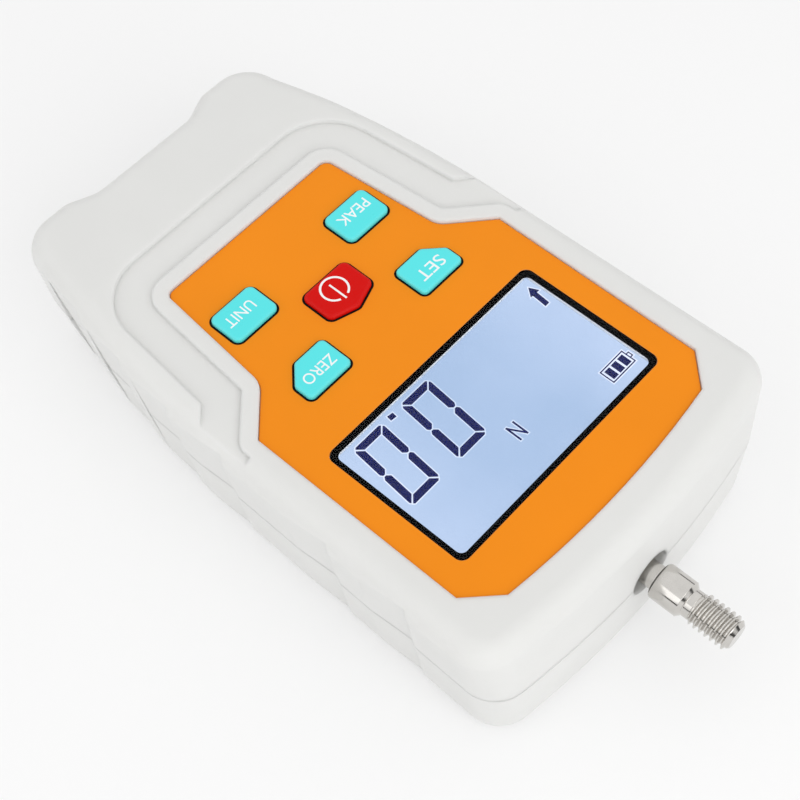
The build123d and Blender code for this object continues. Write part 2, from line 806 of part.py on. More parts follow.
# ---------------------------------------------------------------- measuring line
cell_middle_y = cell_front_y - cell_length / 2
with BuildPart() as load_cell:
    with BuildSketch(Plane.XY.offset(shaft_height - cell_thickness / 2)):
        with Locations((0, cell_middle_y)):
            Rectangle(cell_width, cell_length)
            Circle(cell_hole_diameter / 2, mode=Mode.SUBTRACT)
        with Locations((cell_width / 2, cell_front_y - cell_slot_inset)):
            Rectangle(cell_slot_length, cell_slot, align=(Align.MAX, Align.CENTER), mode=Mode.SUBTRACT)
        with Locations((-cell_width / 2, cell_rear_y + cell_slot_inset)):
            Rectangle(cell_slot_length, cell_slot, align=(Align.MIN, Align.CENTER), mode=Mode.SUBTRACT)
    extrude(amount=cell_thickness)
    chamfer(load_cell.edges().filter_by(Axis.Z).group_by(SortBy.LENGTH)[-1], cell_slot / 4)
    with BuildSketch(Plane.XZ.offset(-cell_front_y)):
        with Locations((0, shaft_height)):
            Circle(rod_diameter / 2 + thread_clearance)
    extrude(amount=rod_in_cell + thread_clearance, mode=Mode.SUBTRACT)
    with BuildSketch(Plane.XZ.offset(-cell_rear_y)):
        with Locations((0, shaft_height)):
            Circle(bolt_diameter / 2 + thread_clearance)
    extrude(amount=-bolt_engagement - thread_clearance, mode=Mode.SUBTRACT)
load_cell.part.label = "load_cell"
export_step(load_cell.part, "parts/load_cell.step")

with BuildPart() as strain_gauges:
    for z in (
        shaft_height + cell_thickness / 2,
        shaft_height - cell_thickness / 2 - gauge_pad_thickness,
    ):
        with BuildSketch(Plane.XY.offset(z)):
            with Locations((0, cell_middle_y)):
                with GridLocations(cell_hole_diameter + 2 * gauge_pad_width, 1, 2, 1):
                    Rectangle(gauge_pad_width, gauge_pad_length)
        extrude(amount=gauge_pad_thickness)
strain_gauges.part.label = "strain_gauges"
export_step(strain_gauges.part, "parts/strain_gauges.step")

with BuildPart() as measuring_rod:
    with BuildSketch(Plane.XZ.offset(rod_in_cell - cell_front_y)):
        with Locations((0, shaft_height)):
            Circle(rod_diameter / 2)
    extrude(amount=-(rod_in_cell + cell_front_gap + collar_gap + rod_in_collar))
measuring_rod.part.label = "measuring_rod"
export_step(measuring_rod.part, "parts/measuring_rod.step")

neck_front_y = collar_front_y + neck_length
with BuildPart() as thread_adapter:
    with BuildSketch(Plane.YZ):
        with BuildLine():
            Polyline(
                (collar_rear_y, shaft_height),
                (collar_rear_y, shaft_height + collar_diameter / 2 - collar_chamfer),
                (collar_rear_y + collar_chamfer, shaft_height + collar_diameter / 2),
                (collar_front_y - collar_chamfer, shaft_height + collar_diameter / 2),
                (collar_front_y, shaft_height + collar_diameter / 2 - collar_chamfer),
                (collar_front_y, shaft_height + neck_diameter / 2),
                (neck_front_y, shaft_height + neck_diameter / 2),
                (neck_front_y, shaft_height + stud_diameter / 2),
                (stud_tip_y - stud_chamfer, shaft_height + stud_diameter / 2),
                (stud_tip_y, shaft_height + stud_diameter / 2 - stud_chamfer),
                (stud_tip_y, shaft_height),
                close=True,
            )
        make_face()
    revolve(axis=Axis((0, 0, shaft_height), (0, 1, 0)))
    with BuildSketch(Plane.XZ.offset(-collar_rear_y)):
        with Locations((0, shaft_height)):
            Circle(rod_diameter / 2 + thread_clearance)
    extrude(amount=-rod_in_collar - thread_clearance, mode=Mode.SUBTRACT)
thread_adapter.part.label = "thread_adapter"
export_step(thread_adapter.part, "parts/thread_adapter.step")

with BuildPart() as cell_bracket:
    with BuildSketch(Plane.YZ):
        with BuildLine():
            Polyline(
                (cell_rear_y, foot_bottom),
                (cell_rear_y, shaft_height + cell_thickness / 2),
                (cell_rear_y - bracket_thickness, shaft_height + cell_thickness / 2),
                (cell_rear_y - bracket_thickness, foot_top),
                (bracket_foot_rear_y, foot_top),
                (bracket_foot_rear_y, foot_bottom),
                close=True,
            )
        make_face()
    extrude(amount=bracket_width / 2, both=True)
    with BuildSketch(Plane.XZ.offset(-cell_rear_y)):
        with Locations((0, shaft_height)):
            Circle(bolt_diameter / 2 + fit_clearance)
    extrude(amount=bracket_thickness, mode=Mode.SUBTRACT)
    with BuildSketch(Plane.XY.offset(foot_bottom)):
        with Locations(*bracket_screw_places):
            Circle(bracket_screw_diameter / 2 + fit_clearance)
    extrude(amount=bracket_thickness, mode=Mode.SUBTRACT)
cell_bracket.part.label = "cell_bracket"
export_step(cell_bracket.part, "parts/cell_bracket.step")

with BuildPart() as cell_bolt:
    with BuildSketch(Plane.XZ.offset(bracket_thickness - cell_rear_y)):
        with Locations((0, shaft_height)):
            RegularPolygon(bolt_head_diameter / 2, 6)
    extrude(amount=bolt_head_height)
    with BuildSketch(Plane.XZ.offset(bracket_thickness - cell_rear_y)):
        with Locations((0, shaft_height)):
            Circle(bolt_diameter / 2)
    extrude(amount=-bracket_thickness - bolt_engagement)
cell_bolt.part.label = "cell_bolt"
export_step(cell_bolt.part, "parts/cell_bolt.step")

with BuildPart() as bracket_screws:
    with BuildSketch(Plane.XY.offset(foot_top)):
        with Locations(*bracket_screw_places):
            Circle(bracket_screw_head / 2)
    extrude(amount=bracket_screw_diameter / 2)
    with BuildSketch(Plane.XY.offset(foot_top)):
        with Locations(*bracket_screw_places):
            Circle(bracket_screw_diameter / 2)
    extrude(amount=-bracket_screw_length)
bracket_screws.part.label = "bracket_screws"
export_step(bracket_screws.part, "parts/bracket_screws.step")

# ---------------------------------------------------------------- battery and charging jack
battery_height = wall + cradle_wall + cell_pack_diameter / 2
battery_pitch = cell_pack_diameter + 2 * fit_clearance
with BuildPart() as battery_cells:
    with BuildSketch(Plane.XZ.offset(-battery_rear_y)):
        with Locations((0, battery_height)):
            with GridLocations(battery_pitch, 1, 2, 1):
                Circle(cell_pack_diameter / 2)
    extrude(amount=-cell_pack_length)
battery_cells.part.label = "battery_cells"
export_step(battery_cells.part, "parts/battery_cells.step")

cradle_half = battery_pitch / 2 + cell_pack_diameter / 2 + cradle_wall + fit_clearance
with BuildPart() as battery_cradle:
    with BuildSketch(Plane.XY.offset(wall)):
        with Locations((0, (battery_rear_y + battery_front_y) / 2)):
            Rectangle(2 * cradle_half, cell_pack_length + 2 * cradle_wall + 2 * fit_clearance)
    extrude(amount=battery_height - wall)
    with BuildSketch(Plane.XZ.offset(fit_clearance - battery_rear_y)):
        with Locations((0, battery_height)):
            with GridLocations(battery_pitch, 1, 2, 1):
                Circle(cell_pack_diameter / 2 + fit_clearance / 3)
            Rectangle(battery_pitch, cell_pack_diameter / 2)
    extrude(amount=-cell_pack_length - 2 * fit_clearance, mode=Mode.SUBTRACT)
battery_cradle.part.label = "battery_cradle"
export_step(battery_cradle.part, "parts/battery_cradle.step")

jack_face_y = notch_y + wall / 4
with BuildPart() as charge_jack:
    with BuildSketch(Plane.XZ.offset(-notch_wall_y)):
        with Locations((0, jack_height)):
            Rectangle(jack_body_width, jack_body_height)
    extrude(amount=-jack_body_length)
    with BuildSketch(Plane.XZ.offset(-notch_wall_y)):
        with Locations((0, jack_height)):
            Circle(jack_nose_radius)
    extrude(amount=notch_wall_y - jack_face_y)
    with BuildSketch(Plane.XZ.offset(-jack_face_y)):
        with Locations((0, jack_height)):
            Circle(jack_bore_radius)
            Circle(jack_pin_radius, mode=Mode.SUBTRACT)
    extrude(amount=-jack_bore_depth, mode=Mode.SUBTRACT)
charge_jack.part.label = "charge_jack"
export_step(charge_jack.part, "parts/charge_jack.step")

# ---------------------------------------------------------------- cover screws and stand inserts
with BuildPart() as cover_screws:
    with BuildSketch(Plane.XY.offset(cover_screw_sink - cover_screw_head_height)):
        with Locations(*cover_posts):
            Circle(cover_screw_head / 2)
    extrude(amount=cover_screw_head_height)
    with BuildSketch(Plane.XY.offset(cover_screw_sink)):
        with Locations(*cover_posts):
            Circle(cover_screw_diameter / 2)
    extrude(amount=cover_screw_length)
    with BuildSketch(Plane.XY.offset(cover_screw_sink - cover_screw_head_height)):
        with Locations(*cover_posts):
            Rectangle(cross_slot_length, cross_slot_width)
            Rectangle(cross_slot_width, cross_slot_length)
    extrude(amount=cross_slot_depth, mode=Mode.SUBTRACT)
cover_screws.part.label = "cover_screws"
export_step(cover_screws.part, "parts/cover_screws.step")

with BuildPart() as stand_inserts:
    with BuildSketch(Plane.XY):
        with Locations((0, inserts_y)):
            with GridLocations(insert_pitch_x, insert_pitch_y, 2, 2):
                Circle(insert_radius)
                Circle(insert_bore_radius, mode=Mode.SUBTRACT)
    extrude(amount=insert_length)
stand_inserts.part.label = "stand_inserts"
export_step(stand_inserts.part, "parts/stand_inserts.step")
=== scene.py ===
"""Looks of the handheld force gauge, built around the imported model.

The file is laid out as an add-on and run as a script. Sizes are in metres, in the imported
model's frame: +X to the reader's right, +Y towards the measuring stud, +Z out of the display.
"""

import math

import bmesh
import bpy
from mathutils import Matrix, Vector
from mathutils.geometry import convex_hull_2d


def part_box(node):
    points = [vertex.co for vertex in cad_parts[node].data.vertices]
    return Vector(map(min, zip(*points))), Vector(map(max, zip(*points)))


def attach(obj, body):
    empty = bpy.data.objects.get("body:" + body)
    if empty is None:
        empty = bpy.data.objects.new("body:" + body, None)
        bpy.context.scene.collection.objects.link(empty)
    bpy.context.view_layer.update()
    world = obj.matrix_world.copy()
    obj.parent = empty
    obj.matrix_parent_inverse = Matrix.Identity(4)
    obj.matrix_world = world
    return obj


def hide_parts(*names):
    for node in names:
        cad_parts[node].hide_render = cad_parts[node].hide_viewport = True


bl_info = {
    "name": "Force Gauge Finishes",
    "version": (1, 0, 0),
    "blender": (4, 5, 0),
    "location": "3D View > Sidebar > Gauge",
    "description": "Materials, display, legends, threads and stage for a handheld force gauge",
    "category": "Object",
}

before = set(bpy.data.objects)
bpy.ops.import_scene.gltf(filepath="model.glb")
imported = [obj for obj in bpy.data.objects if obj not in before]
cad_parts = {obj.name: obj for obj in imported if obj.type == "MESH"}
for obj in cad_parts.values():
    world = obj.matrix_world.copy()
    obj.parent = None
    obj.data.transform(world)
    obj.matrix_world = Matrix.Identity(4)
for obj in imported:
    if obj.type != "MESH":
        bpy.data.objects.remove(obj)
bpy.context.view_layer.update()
MM = 0.001

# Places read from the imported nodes.
window_low, window_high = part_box("display_window")
_, lcd_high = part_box("lcd_cell")
adapter_low, adapter_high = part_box("thread_adapter")
insert_low, insert_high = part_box("stand_inserts")
panel_low, panel_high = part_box("face_panel")
shaft_height = (adapter_low.z + adapter_high.z) / 2
display_y = (window_low.y + window_high.y) / 2

# Text, width, height against the legend height, and shift from the middle of the key.
KEY_LEGENDS = {
    "key_peak": ("PEAK", 6.7 * MM, 0.97, (0.05 * MM, -0.62 * MM)),
    "key_unit": ("UNIT", 6.0 * MM, 0.98, (0.55 * MM, -0.35 * MM)),
    "key_set": ("SET", 5.6 * MM, 1.09, (0.20 * MM, 0.66 * MM)),
    "key_zero": ("ZERO", 6.6 * MM, 0.97, (-0.10 * MM, 0.52 * MM)),
}
LETTER_WEIGHT = 0.002  # thickening of the letters, against their size

# The border's opening and corner radii, and the painted pale glow around the display's signs.
BORDER_WIDTH, BORDER_LENGTH = 46.1 * MM, 26.0 * MM
BORDER_OUTER, BORDER_INNER = 1.6 * MM, 1.15 * MM
SIGN_GLOW = 0.2 * MM

# A near-black ring of painted shade in the gap round each key runs between these distances from
# the key's side.
GAP_SHADE_NEAR, GAP_SHADE_FAR = 0.05 * MM, 0.40 * MM

# Threads: points around, phases along the pitch, shares of crest, flank and rounding.
SEGMENTS = 72
PROFILE_PHASES = (0.0, 0.11, 0.19, 0.27, 0.35, 0.42, 0.5, 0.58, 0.65, 0.73, 0.81, 0.89)
CREST_SHARE, FLANK_SHARE, ROUNDING_SHARE = 0.16, 0.62, 0.25
THREAD_ANGLE = math.radians(38)  # edges sharper than this stay sharp
MERGE = 1e-7  # points nearer than this are one
METAL_GRAIN = 0.006 * MM  # depth of tool marks

# Place and side of each lamp, and the stage's plain colours.
LAMPS = {"key_lamp": ((0.16, 0.62, 0.50), 0.62), "fill_lamp": ((0.62, -0.30, 0.40), 0.50)}
WHITE = (1.0, 1.0, 1.0, 1.0)
LOW_SKY = (0.80, 0.80, 0.80, 1.0)
DARK_STRIP = (0.04, 0.04, 0.04, 1.0)


# ---- settings
def colour_property(name, description, default):
    """A linear colour with three channels."""
    return bpy.props.FloatVectorProperty(
        name=name, description=description, subtype="COLOR", size=3, min=0, max=1, default=default
    )


def length_property(name, description, default):
    """A length in metres."""
    return bpy.props.FloatProperty(
        name=name, description=description, subtype="DISTANCE", unit="LENGTH", min=0,
        precision=5, default=default,
    )


class GaugeColours(bpy.types.PropertyGroup):
    """Colours of the gauge."""

    housing: colour_property("Housing", "Moulded covers", (0.765, 0.765, 0.75))
    panel: colour_property("Panel", "Face panel around the display and keys", (0.90, 0.27, 0.008))
    key: colour_property("Keys", "The four function keys", (0.10, 0.79, 0.81))
    power: colour_property("Power key", "The power key", (0.67, 0.004, 0.0025))
    legend: colour_property("Legends", "Printed letters on the keys", (0.92, 0.94, 0.94))
    light: colour_property("Display light", "Lit display behind its digits", (0.385, 0.515, 0.735))
    ink: colour_property("Display ink", "Digits and signs on the display", (0.006, 0.010, 0.085))
    steel: colour_property("Steel", "Measuring shaft", (0.64, 0.62, 0.59))


class GaugeSizes(bpy.types.PropertyGroup):
    """Sizes of the small forms that the scene adds."""

    thread_pitch: length_property("Thread pitch", "Distance between the stud's crests", 0.00105)
    thread_depth: length_property("Thread depth", "Crest to root of the stud's thread", 0.00060)
    digit_height: length_property("Digit height", "Height of the display's digits", 0.0136)
    digit_width: length_property("Digit width", "Width of the display's digits", 0.0066)
    digit_stroke: length_property("Digit stroke", "Width of a digit's bars", 0.00132)
    legend_height: length_property("Legend height", "Height of the letters on the keys", 0.00215)
    print_thickness: length_property("Print thickness", "Thickness of printed forms", 0.00001)


class GaugeStage(bpy.types.PropertyGroup):
    """Floor, lamps and camera."""

    floor: colour_property("Floor", "Plain floor", (0.92, 0.92, 0.92))
    key_power: bpy.props.FloatProperty(
        name="Key lamp", description="Power of the large lamp", unit="POWER", min=0, default=1.9
    )
    fill_power: bpy.props.FloatProperty(
        name="Fill lamp", description="Power of the side lamp", unit="POWER", min=0, default=0.5
    )
    floor_white: bpy.props.FloatProperty(
        name="Floor white", description="Share of plain white in the floor where it is seen",
        subtype="FACTOR", min=0, max=1, default=0.35,
    )
    sky: bpy.props.FloatProperty(
        name="Sky", description="Strength of the even light from all sides", min=0, default=0.86
    )
    lens: bpy.props.FloatProperty(
        name="Lens", description="Focal length of the camera", unit="CAMERA", min=1, default=74.54
    )


# ---- node groups
def new_group(name, inputs, outputs):
    """A shader node group with numbers going in, and its two end nodes."""
    group = bpy.data.node_groups.new(name, "ShaderNodeTree")
    for socket, default in inputs.items():
        item = group.interface.new_socket(socket, in_out="INPUT", socket_type="NodeSocketFloat")
        item.default_value = default
    for socket, kind in outputs.items():
        group.interface.new_socket(socket, in_out="OUTPUT", socket_type="NodeSocket" + kind)
    return group, group.nodes.new("NodeGroupInput"), group.nodes.new("NodeGroupOutput")


def feed(tree, socket, value):
    """Sets an input to a number or colour, or links another node's output to it."""
    if isinstance(value, (int, float, tuple)):
        socket.default_value = value
    else:
        tree.links.new(value, socket)


def own_place(tree):
    """Coordinates of the piece itself."""
    return tree.nodes.new("ShaderNodeTexCoord").outputs["Object"]


def split_axes(tree, place):
    """The X, Y and Z of a place."""
    parts = tree.nodes.new("ShaderNodeSeparateXYZ")
    tree.links.new(place, parts.inputs[0])
    return parts.outputs


def add_noise(tree, vector, scale, detail=2.0, roughness=0.5):
    """A noise node on the given coordinates."""
    noise = tree.nodes.new("ShaderNodeTexNoise")
    values = {"Vector": vector, "Scale": scale, "Detail": detail, "Roughness": roughness}
    for name, value in values.items():
        feed(tree, noise.inputs[name], value)
    return noise.outputs["Fac"]


def add_math(tree, operation, *values, clamp=False):
    """A math node whose inputs are sockets or numbers."""
    node = tree.nodes.new("ShaderNodeMath")
    node.operation = operation
    node.use_clamp = clamp
    for socket, value in zip(node.inputs, values):
        feed(tree, socket, value)
    return node.outputs[0]


def add_range(tree, value, low, high, to_low=0.0, to_high=1.0):
    """A clamped linear change of range, to 0 and 1 unless other ends are given."""
    node = tree.nodes.new("ShaderNodeMapRange")
    names = ("Value", "From Min", "From Max", "To Min", "To Max")
    for name, number in zip(names, (value, low, high, to_low, to_high)):
        feed(tree, node.inputs[name], number)
    return node.outputs["Result"]


def add_mix(tree, factor, first, second):
    """A colour mix whose inputs are sockets or colours."""
    node = tree.nodes.new("ShaderNodeMix")
    node.data_type = "RGBA"
    for index, value in ((0, factor), (6, first), (7, second)):
        feed(tree, node.inputs[index], value)
    return node.outputs[2]


def mix_surfaces(tree, factor, first, second, end):
    """Mixes two shaders by a factor into the tree's end node."""
    blend = tree.nodes.new("ShaderNodeMixShader")
    tree.links.new(factor, blend.inputs[0])
    tree.links.new(first.outputs[0], blend.inputs[1])
    tree.links.new(second.outputs[0], blend.inputs[2])
    tree.links.new(blend.outputs[0], tree.nodes[end].inputs["Surface"])


def make_moulded_grain():
    """Fine texture of moulded plastic: height, a slow tone and a gloss variation."""
    group, start, end = new_group(
        "Moulded grain",
        {"Grain Scale": 2600.0, "Cloud Scale": 55.0},
        {"Height": "Float", "Tone": "Float", "Gloss": "Float"},
    )
    place = own_place(group)
    grain = add_noise(group, place, start.outputs["Grain Scale"], 3.0, 0.6)
    cloud = add_noise(group, place, start.outputs["Cloud Scale"], 3.0, 0.55)
    middle = add_math(group, "MULTIPLY", start.outputs["Cloud Scale"], 9.0)
    smear = add_noise(group, place, middle, 2.0, 0.5)
    group.links.new(grain, end.inputs["Height"])
    group.links.new(add_range(group, cloud, 0.3, 0.7), end.inputs["Tone"])
    blend = add_math(group, "MULTIPLY_ADD", smear, 0.5, add_math(group, "MULTIPLY", cloud, 0.5))
    group.links.new(add_range(group, blend, 0.35, 0.65), end.inputs["Gloss"])
    return group


def make_rounded_edge():
    """Softened normal at sharp edges, and a mask of those edges for wear and painted edge
    highlights.
    """
    group, start, end = new_group(
        "Rounded edge",
        {"Radius": 0.0003, "Gain": 4.0},
        {"Normal": "Vector", "Mask": "Float"},
    )
    bevel = group.nodes.new("ShaderNodeBevel")
    bevel.samples = 6
    group.links.new(start.outputs["Radius"], bevel.inputs["Radius"])
    shape = group.nodes.new("ShaderNodeNewGeometry")
    product = group.nodes.new("ShaderNodeVectorMath")
    product.operation = "DOT_PRODUCT"
    group.links.new(bevel.outputs["Normal"], product.inputs[0])
    group.links.new(shape.outputs["Normal"], product.inputs[1])
    away = add_math(group, "SUBTRACT", 1.0, product.outputs["Value"])
    mask = add_math(group, "MULTIPLY", away, start.outputs["Gain"], clamp=True)
    group.links.new(bevel.outputs["Normal"], end.inputs["Normal"])
    group.links.new(mask, end.inputs["Mask"])
    return group


def make_turning_marks():
    """Fine rings left by a lathe around the Y axis through the shaft."""
    group, start, end = new_group(
        "Turning marks",
        {"Ring Scale": 9000.0},
        {"Height": "Float", "Tone": "Float"},
    )
    place = own_place(group)
    parts = split_axes(group, place)
    line = group.nodes.new("ShaderNodeCombineXYZ")
    group.links.new(parts["Y"], line.inputs["Y"])
    for axis in ("X", "Z"):
        group.links.new(add_math(group, "MULTIPLY", parts[axis], 0.04), line.inputs[axis])
    rings = add_noise(group, line.outputs[0], start.outputs["Ring Scale"], 3.0, 0.65)
    stains = add_noise(group, place, 420.0, 3.0, 0.6)
    group.links.new(rings, end.inputs["Height"])
    group.links.new(add_range(group, stains, 0.35, 0.7), end.inputs["Tone"])
    return group


def make_weave():
    """Crossed glass cloth under the lacquer of a circuit board."""
    group, start, end = new_group(
        "Board weave",
        {"Thread Scale": 2200.0},
        {"Height": "Float", "Mask": "Float"},
    )
    place = own_place(group)
    heights = []
    for direction in ("X", "Y"):
        wave = group.nodes.new("ShaderNodeTexWave")
        wave.bands_direction = direction
        group.links.new(place, wave.inputs["Vector"])
        group.links.new(start.outputs["Thread Scale"], wave.inputs["Scale"])
        heights.append(wave.outputs["Fac"])
    cloth = add_math(group, "MULTIPLY", heights[0], heights[1])
    group.links.new(cloth, end.inputs["Height"])
    group.links.new(cloth, end.inputs["Mask"])
    return group


GROUP_MAKERS = {
    "grain": make_moulded_grain,
    "edge": make_rounded_edge,
    "turning": make_turning_marks,
    "weave": make_weave,
}
groups = {}


def use_group(tree, name, **values):
    """A node of a shared group, with its own values."""
    if name not in groups:
        groups[name] = GROUP_MAKERS[name]()
    node = tree.nodes.new("ShaderNodeGroup")
    node.node_tree = groups[name]
    for socket, value in values.items():
        node.inputs[socket.replace("_", " ")].default_value = value
    return node


# ---- materials
def new_material(name, **values):
    """A material with a Principled shader, and values for its own sockets."""
    material = bpy.data.materials.new(name)
    material.use_nodes = True
    shader = material.node_tree.nodes["Principled BSDF"]
    for socket, value in values.items():
        shader.inputs[socket.replace("_", " ")].default_value = value
    return material, material.node_tree, shader


def rgba(colour, factor=1.0):
    """An opaque colour, scaled."""
    return (colour[0] * factor, colour[1] * factor, colour[2] * factor, 1.0)


def add_bump(tree, shader, height, strength, distance, normal=None):
    """Bump on a shader, over a softened normal if there is one."""
    bump = tree.nodes.new("ShaderNodeBump")
    bump.inputs["Strength"].default_value = strength
    bump.inputs["Distance"].default_value = distance
    tree.links.new(height, bump.inputs["Height"])
    if normal is not None:
        tree.links.new(normal, bump.inputs["Normal"])
    tree.links.new(bump.outputs["Normal"], shader.inputs["Normal"])


def moulded_plastic(name, colour, roughness, edge=0.0003, grain=2600.0, depth=0.000012,
                    wear_and_edge_highlight=(0.12, 0.35), spread=0.03, **values):
    """Moulded plastic: satin skin with fine texture, slow tone, and edges painted paler, partly as
    rubbed wear and partly as a painted highlight on their rounding.
    The pair given for the edges holds how far an edge goes towards white, and the share of that
    which is laid on."""
    material, tree, shader = new_material(name, **values)
    skin = use_group(tree, "grain", Grain_Scale=grain)
    rim = use_group(tree, "edge", Radius=edge)
    tone = add_mix(tree, skin.outputs["Tone"], rgba(colour, 1 - spread), rgba(colour))
    # Edges turn paler: rubbed wear, plus a painted highlight where the rounded edge would catch
    # light.
    paling, rubbed_and_highlit_share = wear_and_edge_highlight
    bright = tuple(channel + (1 - channel) * paling for channel in colour)
    worn_and_highlit_edges = add_math(tree, "MULTIPLY", rim.outputs["Mask"], rubbed_and_highlit_share)
    tree.links.new(add_mix(tree, worn_and_highlit_edges, tone, rgba(bright)), shader.inputs["Base Color"])
    gloss = add_range(tree, skin.outputs["Gloss"], 0.0, 1.0, roughness - 0.04, roughness + 0.04)
    tree.links.new(gloss, shader.inputs["Roughness"])
    add_bump(tree, shader, skin.outputs["Height"], 0.25, depth, rim.outputs["Normal"])
    return material


def turned_metal(name, colour, roughness, edge=0.00012, rings=9000.0):
    """Turned metal with fine rings, faint stains and polished edges."""
    material, tree, shader = new_material(name, Metallic=1.0, Anisotropic=0.35)
    marks = use_group(tree, "turning", Ring_Scale=rings)
    rim = use_group(tree, "edge", Radius=edge)
    tone = add_mix(tree, marks.outputs["Tone"], rgba(colour, 0.93), rgba(colour))
    polished = add_mix(tree, rim.outputs["Mask"], tone, rgba(colour, 1.12))
    tree.links.new(polished, shader.inputs["Base Color"])
    gloss = add_range(tree, marks.outputs["Tone"], 0.0, 1.0, roughness + 0.04, roughness - 0.02)
    tree.links.new(gloss, shader.inputs["Roughness"])
    add_bump(tree, shader, marks.outputs["Height"], 0.3, METAL_GRAIN, rim.outputs["Normal"])
    return material


def printed_ink(name, colour, roughness, gloss=0.3):
    """Thin printed ink with a slightly uneven tone. gloss is its specular level."""
    material, tree, shader = new_material(name, Specular_IOR_Level=gloss)
    skin = use_group(tree, "grain", Grain_Scale=5200.0, Cloud_Scale=260.0)
    tone = add_mix(tree, skin.outputs["Tone"], rgba(colour, 0.94), rgba(colour))
    tree.links.new(tone, shader.inputs["Base Color"])
    sheen = add_range(tree, skin.outputs["Gloss"], 0.0, 1.0, roughness - 0.05, roughness + 0.05)
    tree.links.new(sheen, shader.inputs["Roughness"])
    return material


def lit_display(name, colour):
    """Display glass lit from behind, a little brighter towards its two ends."""
    material, tree, shader = new_material(
        name, Roughness=0.3, Specular_IOR_Level=0.1, Emission_Strength=1.0
    )
    place = own_place(tree)
    across = add_math(tree, "ABSOLUTE", split_axes(tree, place)["X"])
    across = add_range(tree, across, lcd_high.x * 0.3, lcd_high.x * 0.95)
    cloud = add_noise(tree, place, 70.0, 2.0, 0.4)
    speck = add_noise(tree, place, 3600.0, 1.0, 0.5)
    share = add_math(tree, "MULTIPLY_ADD", cloud, 0.5, add_math(tree, "MULTIPLY", across, 0.6))
    share = add_math(tree, "MULTIPLY_ADD", speck, 0.12, share)
    ends = rgba((colour[0] * 1.3, colour[1] * 1.2, colour[2] * 1.14))
    glow = add_mix(tree, add_range(tree, share, 0.25, 0.85), rgba(colour), ends)
    tree.links.new(glow, shader.inputs["Emission Color"])
    dark_glass = rgba((0.012, 0.015, 0.02))
    tree.links.new(add_mix(tree, 0.95, glow, dark_glass), shader.inputs["Base Color"])
    return material


def clear_window(name):
    """Clear plastic window with a faint haze, open to light from lamps."""
    material, tree, shader = new_material(
        name, Base_Color=(0.97, 0.985, 1.0, 1.0), IOR=1.2, Transmission_Weight=1.0,
        Specular_IOR_Level=0.3,
    )
    skin = use_group(tree, "grain", Cloud_Scale=90.0)
    haze = add_range(tree, skin.outputs["Gloss"], 0.0, 1.0, 0.0, 0.02)
    tree.links.new(haze, shader.inputs["Roughness"])
    path = tree.nodes.new("ShaderNodeLightPath")
    clear = tree.nodes.new("ShaderNodeBsdfTransparent")
    mix_surfaces(tree, path.outputs["Is Shadow Ray"], shader, clear, "Material Output")
    return material


def circuit_board(name):
    """Green lacquered board over woven glass cloth, with paler tracks under the lacquer."""
    material, tree, shader = new_material(name, Roughness=0.35, Coat_Weight=0.3)
    cloth = use_group(tree, "weave")
    place = own_place(tree)
    tracks = tree.nodes.new("ShaderNodeTexBrick")
    tracks.inputs["Scale"].default_value = 120.0
    tracks.inputs["Mortar Size"].default_value = 0.03
    tree.links.new(place, tracks.inputs["Vector"])
    deep, bright = (0.006, 0.085, 0.03, 1.0), (0.012, 0.13, 0.05, 1.0)
    lacquer = add_mix(tree, cloth.outputs["Mask"], deep, bright)
    tone = add_mix(tree, tracks.outputs["Fac"], lacquer, (0.03, 0.24, 0.10, 1.0))
    tree.links.new(tone, shader.inputs["Base Color"])
    add_bump(tree, shader, cloth.outputs["Height"], 0.3, 0.00002)
    return material


def rolled_metal(name, colour, roughness, direction="X"):
    """Machined or rolled metal with straight brush lines."""
    material, tree, shader = new_material(name, Metallic=1.0)
    stretch = tree.nodes.new("ShaderNodeMapping")
    stretch.inputs["Scale"].default_value = [0.03 if axis == direction else 1.0 for axis in "XYZ"]
    tree.links.new(own_place(tree), stretch.inputs["Vector"])
    lines = add_noise(tree, stretch.outputs["Vector"], 6000.0, 3.0, 0.6)
    rim = use_group(tree, "edge", Radius=0.00015)
    tone = add_mix(tree, lines, rgba(colour, 0.88), rgba(colour, 1.04))
    tree.links.new(tone, shader.inputs["Base Color"])
    gloss = add_range(tree, lines, 0.3, 0.7, roughness - 0.05, roughness + 0.06)
    tree.links.new(gloss, shader.inputs["Roughness"])
    add_bump(tree, shader, lines, 0.25, METAL_GRAIN, rim.outputs["Normal"])
    return material


def dress(material, *names):
    """Gives CAD nodes one material."""
    for name in names:
        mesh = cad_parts[name].data
        mesh.materials.clear()
        mesh.materials.append(material)


# ---- mesh helpers
def add_piece(name, mesh, material, body, replaces=()):
    """Puts a mesh in the scene as a piece that rides on a body."""
    piece = bpy.data.objects.new(name, mesh)
    bpy.context.scene.collection.objects.link(piece)
    if not mesh.materials:
        mesh.materials.append(material)
    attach(piece, body)
    if replaces:
        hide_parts(*replaces)


def close_mesh(name, work, smooth=True, angle=math.radians(32)):
    """Turns a bmesh into a mesh with outward faces and sharp edges kept sharp."""
    bmesh.ops.recalc_face_normals(work, faces=work.faces)
    for face in work.faces:
        face.smooth = smooth
    for edge in work.edges:
        if edge.is_manifold and edge.calc_face_angle(0.0) > angle:
            edge.smooth = False
    mesh = bpy.data.meshes.new(name)
    work.to_mesh(mesh)
    work.free()
    return mesh


def join_loops(work, loops):
    """Faces between closed loops of points, from each loop to the next."""
    count = len(loops[0])
    for first, last in zip(loops, loops[1:]):
        for index in range(count):
            following = (index + 1) % count
            work.faces.new((first[index], first[following], last[following], last[index]))


